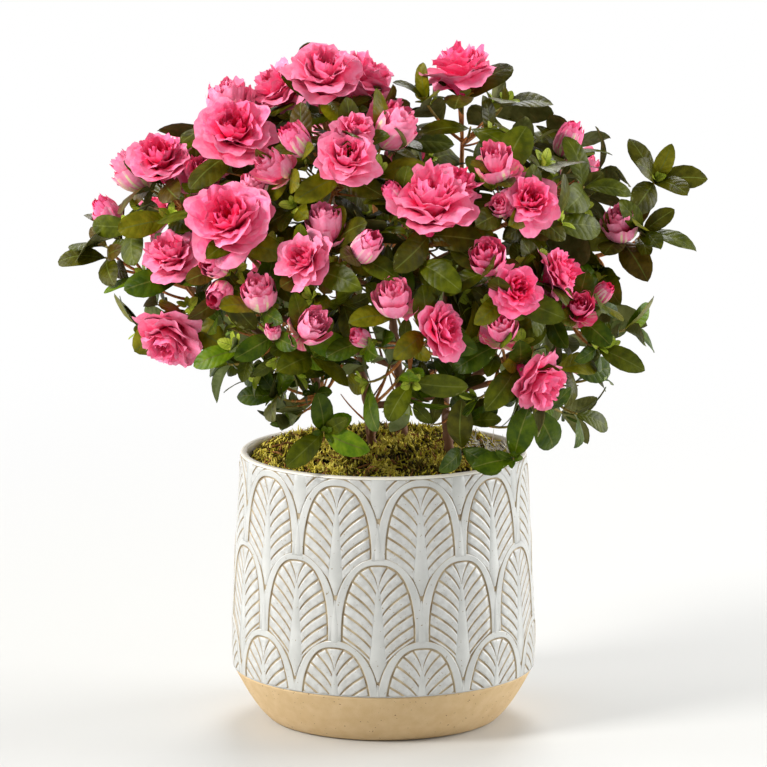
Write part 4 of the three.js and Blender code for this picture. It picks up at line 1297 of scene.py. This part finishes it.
def fill_in(spines, shoots, bases):
    """Small leafy shoots inside each spray, on the same spiral drawn tighter."""
    added = []
    for number, (spray, row) in enumerate(SPRAYS.items()):
        rng = np.random.default_rng(SEEDS["small_shoots"] + number)
        left = row["fullness"][1]
        for reach in FINE["reaches"]:
            for out in spiral(bases[spray][0], row["centre"], FINE["steps"], FINE["widest"]):
                position = row["centre"] + out * reach
                if left == 0:
                    break
                if position[2] < FINE["lowest"]:
                    continue
                if not has_room(position, spray, shoots + added, FINE["spacing"]):
                    continue
                way = unit(out + UP * SPRAY["lean"] * rng.uniform(*FINE["lean"]))
                turn, index = rng.uniform(*FINE["turn"]), FIRST_SMALL_SHOOT + len(added)
                shoot = new_shoot(spray, "leafy", position, way, turn, 0, index)
                if not place_twig(spines[spray], shoot):
                    continue
                for side in knot_sides(shoot):
                    lift = WHORL["lift"] + rng.uniform(*FINE["lift"])
                    fine_leaf(shoot, side, lift, rng.uniform(*FINE["share"]))
                thicken_whorl(shoot, rng)
                added.append(shoot)
                left -= 1
    return added


# ---------------------------------------------------------------- leaves
LEAF_ROWS = np.array([0, 0.08, 0.22, 0.4, 0.58, 0.74, 0.87, 0.96, 1.0])
LEAF_COLUMNS = np.array([-1, -0.62, -0.05, 0.05, 0.62, 1])
# A leaf in full detail: its roundness at the foot and how pointed its end may be, its folds and
# waves, its thickness, and how each leaf's own share of them may vary.
BLADE = {
    "foot": 0.84, "point": (0.52, 0.74), "stalk": 0.45, "width": (0.88, 1.14), "roll": (-0.4, 0.4),
    "fold": (0.08, 0.4), "twist": (-0.3, 0.3), "rise": (0.6, 1.5), "droop": (0.2, 1.5), "cup": 0.035,
    "wave": (0.2, 0.7), "waves": (7, 11), "thickness": 0.35, "thinning": 0.7, "edge": 0.12, "tuck": 0.04,
}
YOUNG = {"count": 4, "share": (0.2, 0.38), "lift": (38, 72), "chance": 0.7, "above": 225}


def add_leaf(piece, frame_of_leaf, share, rng, tone, under):
    """One leaf: cupped along its rib, with an oval outline that ends in a short point."""
    root, along, across, over = frame_of_leaf
    roll = rng.uniform(*BLADE["roll"])
    across, over = (across * math.cos(roll) + over * math.sin(roll),
                    over * math.cos(roll) - across * math.sin(roll))
    t, s = np.meshgrid(LEAF_ROWS, LEAF_COLUMNS, indexing="ij")
    length, width = LEAF["length"] * share, LEAF["width"] * share * rng.uniform(*BLADE["width"])
    foot, end = BLADE["foot"], rng.uniform(*BLADE["point"])
    widest = (foot / (foot + end)) ** foot * (end / (foot + end)) ** end
    half = np.maximum(t ** foot * (1 - t) ** end / widest * width / 2, BLADE["stalk"] * (1 - t))
    fold, twist = rng.uniform(*BLADE["fold"]), rng.uniform(*BLADE["twist"])
    rise = LEAF["raised"] * rng.uniform(*BLADE["rise"])
    droop = LEAF["droop"] * rng.uniform(*BLADE["droop"])
    wave = rng.uniform(*BLADE["wave"]) * np.sin(t * rng.uniform(*BLADE["waves"]) + rng.uniform(0, 6))
    aside = s * half
    up = rise * np.sin(math.pi * t) - droop * t ** 3 + fold * np.abs(aside) - BLADE["cup"] * aside ** 2
    up = (up + twist * t * aside + wave * s * np.abs(s)) * share
    top = root + length * t[..., None] * along + aside[..., None] * across + up[..., None] * over
    thin = BLADE["thickness"] * (1 - s ** 2) * (1 - BLADE["thinning"] * t) + BLADE["edge"]
    bottom = top - thin[..., None] * over - BLADE["tuck"] * aside[..., None] * across
    rows, columns = t.shape
    names = [tone] * (columns - 1)
    names[columns // 2 - 1] = "leaf_rib"
    places = np.stack([t, np.abs(s)], axis=-1)
    piece.add(top, grid_faces(rows, columns), finish=names * (rows - 1), places=places)
    piece.add(bottom, grid_faces(rows, columns, False, True), finish=under, places=places)


def lean_whorl(shoot, lean):
    """Leans a shoot's leaves aside from its twig's way, all together."""
    way = unit(shoot["way"] + np.array(lean))
    turn = np.array(Vector(shoot["way"]).rotation_difference(Vector(way)).to_matrix())
    end = shoot["end"]
    shoot["leaves"] = [((end + turn @ (root - end), turn @ along, turn @ across, turn @ over), share)
                       for (root, along, across, over), share in shoot["leaves"]]
    shoot["way"] = way


def add_young_leaves(piece, shoot, rng, tone):
    """The small leaves that open at a leafy shoot's tip."""
    for k in range(YOUNG["count"]):
        side = knot_side_at(shoot["end"], shoot["way"], shoot["turn"] + k * GOLDEN_ANGLE)
        frame_of_leaf = leaf_frame(side, shoot["way"], math.radians(rng.uniform(*YOUNG["lift"])))
        add_leaf(piece, frame_of_leaf, rng.uniform(*YOUNG["share"]), rng, tone, tone)


# ---------------------------------------------------------------- flowers
# The layers of each kind of flower, from the outside in: how many petals, the curve that each
# follows out from the flower's line as (radius, height) in shares of its size, half its width, how
# far its edges rise, its ruffle, and its tone at the foot and at the edge, from 0 deep to 3 light
# (a tone beyond them is held at the end).
# The deeper feet and inner layers are partly the flower's own deeper heart and partly painted shade where
# the petals crowd; the lighter edges are partly painted highlight on the thin margins.
LAYERS = {
    "open": [
        (5, ((0.05, -0.42), (0.14, -0.06), (0.54, 0.00)), 0.39, 0.00, 0.055, (0.9, 3.5)),
        (5, ((0.05, -0.34), (0.12, 0.08), (0.46, 0.09)), 0.33, 0.03, 0.065, (0.5, 3.3)),
        (5, ((0.04, -0.30), (0.14, 0.14), (0.35, 0.20)), 0.25, 0.05, 0.07, (0.5, 3.1)),
        (4, ((0.03, -0.26), (0.18, 0.12), (0.22, 0.28)), 0.20, 0.05, 0.07, (0.2, 2.9)),
        (4, ((0.02, -0.22), (0.18, 0.05), (0.10, 0.29)), 0.17, 0.04, 0.06, (0.0, 2.6)),
        (3, ((0.02, -0.20), (0.13, 0.00), (0.03, 0.27)), 0.12, 0.03, 0.05, (-0.2, 2.2)),
    ],
    "half": [
        (5, ((0.04, -0.55), (0.48, -0.38), (0.45, 0.20)), 0.36, 0.02, 0.05, (2.4, 3.3)),
        (5, ((0.04, -0.48), (0.40, -0.2), (0.35, 0.34)), 0.32, 0.02, 0.06, (1.6, 3.3)),
        (5, ((0.03, -0.40), (0.30, -0.1), (0.24, 0.42)), 0.24, 0.02, 0.06, (1.2, 3.4)),
        (4, ((0.02, -0.35), (0.24, 0.0), (0.12, 0.45)), 0.18, 0.02, 0.06, (0.9, 3.3)),
        (3, ((0.02, -0.30), (0.15, 0.0), (0.03, 0.42)), 0.13, 0.02, 0.04, (0.3, 2.6)),
    ],
    "bud": [
        (5, ((0.03, -0.6), (0.54, -0.50), (0.30, 0.32)), 0.33, 0.0, 0.06, (2.0, 3.0)),
        (5, ((0.03, -0.55), (0.52, -0.32), (0.20, 0.46)), 0.30, 0.0, 0.07, (1.4, 2.8)),
        (4, ((0.03, -0.50), (0.38, -0.10), (0.09, 0.55)), 0.24, 0.0, 0.07, (0.6, 2.4)),
    ],
}
# How far some flowers and whorls lean aside from their twigs, as right, back and up.
LEANS = {
    ("right_arm", 0): (0.1, -1.0, -0.1), ("right_arm", 2): (0, -0.6, 0), ("left_arm", 1): (-0.2, -0.8, 0),
    ("left_arm", 2): (-0.2, -0.5, 0), ("centre", 0): (0, 0, 1.3), ("bottom_right", 1): (0.9, 0.3, -0.5),
    ("left_low", 0): (0, 0, 0.4), ("left_low", 1): (0, 0, -0.3), ("right_upper", 1): (0, 0, 0.5),
    ("centre_low", 1): (1.0, 0, 0), ("crown_middle", 0): (0, 0, 0.4), ("left_middle", 0): (-0.2, 0, 0.4),
    ("right_inner", 1): (0.6, 0, 0.4),
}
RISE = {"open": 0.1, "half": 0.6, "bud": 0.4}  # how far the other flowers turn up
TILT = 0.22  # how far a flower may lean from its twig's way
TONE_SPREAD = 0.4  # how far the tones of a whole flower may differ from its layers'
# Painted shade: flowers towards the right, the side away from the key light, are dealt deeper tones.
DEEPER_IN_PAINTED_SHADE = ((-20, 90), (0, 0.5))  # between which places across the crown flowers turn deeper, and how far
# Outer petals that peel back: their chance, reach and drop.
PEELED = {"open": (0.16, 1.04, -0.16), "half": (0.3, 1.2, -0.42)}
PETAL_ROWS = np.array([0, 0.14, 0.28, 0.42, 0.56, 0.68, 0.79, 0.89, 0.96, 1.0])
PETAL_COLUMNS = np.linspace(-1, 1, 13)
TONES = [name for name in PETAL_TONES if name not in ("petal_pale", "petal_cream")]
# A petal in full detail: how its end is rounded and notched, its reach, rise and width, its waves, and
# the least radius that it wraps round. Pairs are what each petal draws from.
PETAL = {
    "rounding": (0.1, 0.24), "notch": (0, 0.07), "reach": (0.86, 1.08), "rise": (-0.08, 0.07),
    "outer": 0.3, "width": (0.86, 1.1), "foot": 0.3, "full_at": 0.7, "crease": 0.012, "creases": 14,
    "long_waves": (3, 5.5), "short_waves": (8, 12), "side_waves": (5, 9), "roll": (-0.5, 0.5),
    "bulge": 0.045, "sway": (-0.22, 0.22), "wrap": 0.15, "turn": (-0.12, 0.12), "layer_turn": (-0.2, 0.2),
}
STREAKS = {"strength": (-0.45, 0.45), "contrast": 1.6, "cream": 0.25, "pale": 0.6, "pale_tone": 2}
SEPALS = {"count": 5, "out": (0.5, 0.9), "length": (6, 9), "width": 2.4, "off": 0.5, "fold": 0.5,
          "droop": 1.2, "thickness": 0.25}


def petal_points(centre, directions, turn, layer, kind, size, rng):
    """A petal's grid of points: a sheet that follows its layer's curve, wraps round the flower's
    line, and ruffles towards its blunt end."""
    way, u, v = directions
    _, profile, half_width, cup, ruffle, _ = layer
    p = PETAL
    s = PETAL_COLUMNS[None, :]
    t = PETAL_ROWS[:, None] * (1 - rng.uniform(*p["rounding"]) * np.abs(s) ** 2.6)
    t = t * (1 - rng.uniform(*p["notch"]) * np.exp(-30 * s ** 2))
    (r0, h0), (r1, h1), (r2, h2) = profile
    r2, h2 = r2 * rng.uniform(*p["reach"]), h2 + rng.uniform(*p["rise"])
    chance, reach, drop = PEELED.get(kind, (0, 1, 0))
    if half_width > p["outer"] and rng.uniform() < chance:
        r2, h2 = r2 * reach, h2 + drop
    r, h = bezier(t, r0, r1, r2), bezier(t, h0, h1, h2)
    grow = smooth(np.clip(t / p["full_at"], 0, 1))
    aside = s * half_width * rng.uniform(*p["width"]) * (p["foot"] + (1 - p["foot"]) * grow)
    edge = t ** 2 * (0.3 + 0.7 * np.abs(s) ** 1.5)
    a, b, c, d = rng.uniform(0, 2 * math.pi, 4)
    waves = np.sin(s * rng.uniform(*p["long_waves"]) + a)
    waves = waves + 0.7 * np.sin(s * rng.uniform(*p["short_waves"]) + 4 * t + b)
    crease = p["crease"] * np.sin(s * p["creases"] + d) * np.sin(math.pi * t)
    roll = rng.uniform(*p["roll"]) * aside * t
    h = h + cup * s ** 2 * t + ruffle * edge * waves + crease + roll
    r = r + 0.8 * ruffle * edge * np.sin(s * rng.uniform(*p["side_waves"]) + c)
    r = r + p["bulge"] * np.cos(math.pi * s / 2) * t + 0.4 * roll
    angle = turn + aside / np.maximum(r, p["wrap"]) + rng.uniform(*p["sway"]) * t ** 2
    return centre + size * (
        (r * np.cos(angle))[..., None] * u + (r * np.sin(angle))[..., None] * v + h[..., None] * way)


def petal_tones(tones, kind, rng, shift):
    """The tone of each face of a petal, in streaks from its foot to its edge. The outer petals of a
    half-open flower or a bud are pale and cream at the foot."""
    foot_tone, edge_tone = tones
    streaks = rng.uniform(*STREAKS["strength"], len(PETAL_COLUMNS) - 1)
    for level in (PETAL_ROWS[:-1] + PETAL_ROWS[1:]) / 2:
        for streak in streaks:
            # From the deeper foot to the lighter edge: partly the petal's own colour, partly painted
            # shade in the flower's heart and painted highlight on its edge.
            tone = foot_tone + (edge_tone - foot_tone) * level ** 0.8 + shift + streak * (1 - level)
            paleness = level + STREAKS["contrast"] * streak
            if kind != "open" and foot_tone >= STREAKS["pale_tone"] and paleness < STREAKS["pale"]:
                yield "petal_cream" if paleness < STREAKS["cream"] else "petal_pale"
            else:
                yield TONES[int(np.clip(round(2 * tone), 0, len(TONES) - 1))]


def add_flower(petals, sepals, shoot, rng):
    """A flower's layers of petals, and the narrow sepals round its foot."""
    kind, size = shoot["kind"], shoot["size"]
    lean = LEANS.get((shoot["spray"], shoot["number"]), (0, 0, RISE[kind]))
    u, v = sideways(shoot["way"])
    # Painted shade: the further right a flower ends, away from the key light, the deeper its tones.
    shift = rng.uniform(-TONE_SPREAD, TONE_SPREAD) - np.interp(shoot["end"][0], *DEEPER_IN_PAINTED_SHADE)
    turn = rng.uniform(0, 2 * math.pi)
    tilt = rng.uniform(-TILT, TILT, 2)
    way = unit(shoot["way"] + tilt[0] * u + tilt[1] * v + np.array(lean))
    u, v = sideways(way)
    centre = shoot["end"] + way * size * FLOWERS[kind]["foot"]
    faces = grid_faces(len(PETAL_ROWS), len(PETAL_COLUMNS), False, True)
    for layer in LAYERS[kind]:
        count = layer[0]
        for k in range(count):
            angle = turn + k * 2 * math.pi / count + rng.uniform(*PETAL["turn"])
            points = petal_points(centre, (way, u, v), angle, layer, kind, size, rng)
            petals.add(points, faces, finish=list(petal_tones(layer[-1], kind, rng, shift)))
        turn += math.pi / count + rng.uniform(*PETAL["layer_turn"])
    for angle in turn + angles(SEPALS["count"]):
        out = u * math.cos(angle) + v * math.sin(angle)
        across = np.cross(way, out)
        along = unit(out * rng.uniform(*SEPALS["out"]) + way)
        frame_of_leaf = (shoot["end"] + out * SEPALS["off"], along, across, -np.cross(across, along))
        add_sepal(sepals, frame_of_leaf, rng.uniform(*SEPALS["length"]))


def add_sepal(piece, frame_of_leaf, length):
    root, along, across, over = frame_of_leaf
    t, s = np.meshgrid([0, 0.3, 0.6, 0.85, 1.0], [-1, 0, 1], indexing="ij")
    half = SEPALS["width"] / 2 * np.sin(math.pi * (0.15 + 0.85 * t)) + 0.05
    up = SEPALS["fold"] * np.abs(s) * half - SEPALS["droop"] * t ** 2
    aside = s * half
    top = root + length * t[..., None] * along + aside[..., None] * across + up[..., None] * over
    piece.add(top, grid_faces(5, 3), finish="sepal")
    piece.add(top - SEPALS["thickness"] * over, grid_faces(5, 3, False, True), finish="sepal")


# ---------------------------------------------------------------- crown
# The leaves of a spray above each height: their size as a share of the model's, and the tones that
# they are dealt, dark and glossy above and brighter in the shade below.
LEAF_LEVELS = (
    (280, 0.93, "dark deep dark olive deep bronze dark"),
    (260, 0.93, "olive deep green olive bright bronze olive deep green"),
    (230, 0.86, "green deep olive green deep green bright"),
    (0, 0.82, "green deep green dark green deep bright"),
)
BRIGHT_BELOW = ("leaf_bright", "leaf_green")  # the tones of the leaves that are paler underneath
MAIN_TWIG, SMALL_TWIG, SPINE_TIP = (1.1, 0.75), (0.8, 0.5), 1.1  # radii


def grow_crown(bases):
    """All shoots of the crown: the model's, then the finer ones."""
    spines = {}
    for spray, row in SPRAYS.items():
        end, base_way = bases[spray]
        start, tip = end + base_way * GAP, row["centre"]
        way = unit(tip - start)
        rings = [ring_around(start, base_way, SPINE["start"], SPINE["sides"]),
                 ring_around(tip, way, SPINE["end"], SPINE["sides"])]
        take_stretches(rings, spray)
        spines[spray] = {"start": start, "tip": tip, "way": way}
    shoots = [s for s in find_shoots(bases) if s["kind"] == "leafy" or place_flower(s)]
    shoots = [s for s in shoots if place_twig(spines[s["spray"]], s)]
    for shoot in shoots:
        grow_leaves(shoot)
    for shoot in shoots:
        thicken_whorl(shoot, np.random.default_rng(SEEDS["whorls"] + shoot["index"]))
    return spines, shoots + fill_in(spines, shoots, bases)


def add_twigs(piece, spine, shoots):
    """The spine and twigs of one spray, brown at the foot and green at the tip."""
    start = spine["start"] - spine["way"]
    points = [start + (spine["tip"] - start) * t for t in np.linspace(0, 1, 6)]
    add_tube(piece, points, np.linspace(SPINE["start"], SPINE_TIP, 6), 8, "twig_bark", 0.15)
    for shoot in shoots:
        middles = shoot["curve"].points(9)
        radii = np.linspace(*(SMALL_TWIG if shoot["index"] >= FIRST_SMALL_SHOOT else MAIN_TWIG), 9)
        radii[-1] *= 0.8
        add_tube(piece, middles[:6], radii[:6], 6, "twig_bark", 0.1)
        add_tube(piece, middles[5:], radii[5:], 6, "twig_green", 0.05)


def dress_spray(spray, shoots, leaves, petals, sepals):
    """The leaves and flowers of one spray."""
    height = SPRAYS[spray]["centre"][2]
    size, tones = next((size, tones) for above, size, tones in LEAF_LEVELS if height > above)
    mix = ["leaf_" + tone for tone in tones.split()]
    for shoot in shoots:
        rng = np.random.default_rng(SEEDS["leaves"] + shoot["index"])
        if shoot["kind"] == "leafy" and (spray, shoot["number"]) in LEANS:
            lean_whorl(shoot, LEANS[spray, shoot["number"]])
        for frame_of_leaf, share in shoot["leaves"]:
            tone = mix[rng.integers(len(mix))]
            under = "leaf_under_bright" if tone in BRIGHT_BELOW else "leaf_under"
            add_leaf(leaves, frame_of_leaf, share * size, rng, tone, under)
        if shoot["kind"] == "leafy" and rng.uniform() < YOUNG["chance"]:
            add_young_leaves(leaves, shoot, rng, "leaf_young" if height > YOUNG["above"] else mix[0])
        if shoot["size"]:
            add_flower(petals, sepals, shoot, np.random.default_rng(SEEDS["flowers"] + shoot["index"]))


def dress_crown(spines, shoots):
    """Leaves, petals, sepals and twigs, each in one piece for each part of the crown."""
    for part in ("top", "left", "right", "back"):
        sprays = [name for name, row in SPRAYS.items() if row["part"] == part]
        leaves, petals = Piece("leaves_" + part, LEAF_TONES), Piece("petals_" + part, PETAL_TONES)
        sepals = Piece("sepals_" + part, ["sepal"])
        twigs = Piece("twigs_" + part, ["twig_bark", "twig_green"])
        for spray in sprays:
            own = [shoot for shoot in shoots
                   if shoot["spray"] == spray and (spray, shoot["number"]) not in UNDRESSED]
            add_twigs(twigs, spines[spray], own)
            dress_spray(spray, own, leaves, petals, sepals)
        for piece in (leaves, petals, sepals, twigs):
            piece.make("foliage_and_flowers", ["spray_" + spray for spray in sprays])


# ---------------------------------------------------------------- stage
CAMERA = {"distance": 3000, "rise": 10.3, "target": (0, 0, 210), "lens": 227.1, "sensor": 36, "far": 50}
# The lights: place, size, energy and colour, in metres and watts.
LIGHTS = {
    "key": ((-2.35, -1.35, 1.9), 0.9, 94, (1.0, 0.985, 0.965)),
    "fill": ((2.2, -1.2, 0.9), 1.8, 11, (0.97, 0.985, 1.0)),
    "right": ((2.1, 0.5, 0.9), 1.6, 53, (1.0, 1.0, 1.0)),
    "left": ((-2.1, 0.6, 0.9), 1.6, 29, (1.0, 1.0, 1.0)),
    "back": ((0.3, 2.2, 2.2), 1.2, 42, (1.0, 1.0, 1.0)),
}
LIT_POINT = (0, 0, 0.2)
AMBIENT = 0.42
FLOOR = {"half": 14, "plain_to": 0.1, "bright_from": 1.3}  # in metres


def place_thing(thing, place, target):
    """Puts a camera or a light in its place, facing a point."""
    thing.location = place
    thing.rotation_euler = (Vector(target) - thing.location).to_track_quat("-Z", "Y").to_euler()
    bpy.context.scene.collection.objects.link(thing)


def camera():
    rise = math.radians(CAMERA["rise"])
    target = np.array(CAMERA["target"])
    place = target + CAMERA["distance"] * np.array([0, -math.cos(rise), math.sin(rise)])
    data = bpy.data.cameras.new("camera")
    data.lens, data.sensor_width, data.clip_end = CAMERA["lens"], CAMERA["sensor"], CAMERA["far"]
    thing = bpy.data.objects.new("camera", data)
    place_thing(thing, place * MM, target * MM)
    bpy.context.scene.camera = thing


def lights():
    for name, (place, size, energy, colour) in LIGHTS.items():
        data = bpy.data.lights.new(name, "AREA")
        data.size, data.energy, data.color = size, energy, colour
        place_thing(bpy.data.objects.new(name, data), place, LIT_POINT)
    world = bpy.data.worlds.new("studio")
    world.use_nodes = True
    background = world.node_tree.nodes["Background"]
    background.inputs["Color"].default_value = (1, 1, 1, 1)
    background.inputs["Strength"].default_value = AMBIENT
    bpy.context.scene.world = world


def floor():
    """A plain pale floor, which brightens to white far from the pot as a lit studio sweep does."""
    half = FLOOR["half"]
    mesh = bpy.data.meshes.new("floor")
    corners = [(-half, -half, 0), (half, -half, 0), (half, half, 0), (-half, half, 0)]
    mesh.from_pydata(corners, [], [(0, 1, 2, 3)])
    material = material_named("floor")
    nodes, links = material.node_tree.nodes, material.node_tree.links
    place = nodes.new("ShaderNodeTexCoord")
    reach = nodes.new("ShaderNodeVectorMath")
    reach.operation = "LENGTH"
    links.new(place.outputs["Object"], reach.inputs[0])
    share = nodes.new("ShaderNodeMapRange")
    share.interpolation_type = "SMOOTHSTEP"
    share.inputs["From Min"].default_value = FLOOR["plain_to"]
    share.inputs["From Max"].default_value = FLOOR["bright_from"]
    links.new(reach.outputs["Value"], share.inputs["Value"])
    glow = nodes.new("ShaderNodeEmission")
    mix = nodes.new("ShaderNodeMixShader")
    links.new(share.outputs["Result"], mix.inputs["Fac"])
    links.new(nodes["Principled BSDF"].outputs["BSDF"], mix.inputs[1])
    links.new(glow.outputs["Emission"], mix.inputs[2])
    links.new(mix.outputs["Shader"], nodes["Material Output"].inputs["Surface"])
    mesh.materials.append(material)
    thing = bpy.data.objects.new("floor", mesh)
    bpy.context.scene.collection.objects.link(thing)


# ---------------------------------------------------------------- assembly
camera()
lights()
floor()
bpy.context.scene.view_settings.view_transform = "Standard"

bark, bases, limbs, stem_feet = grow_limbs()
for piece in planter():
    piece.make("glazed_stoneware", ["planter"])
for piece in moss(stem_feet):
    piece.make("moss", ["moss"])
woody = [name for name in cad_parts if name.startswith(("stem_", "bough_"))]
bark.make("bark", woody)
crown = grow_crown(bases)
grow_bare_twigs(limbs).make("bark", woody)
dress_crown(*crown)

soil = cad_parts["potting_mix"]
soil.data.materials.clear()
soil.data.materials.append(material_named("soil"))
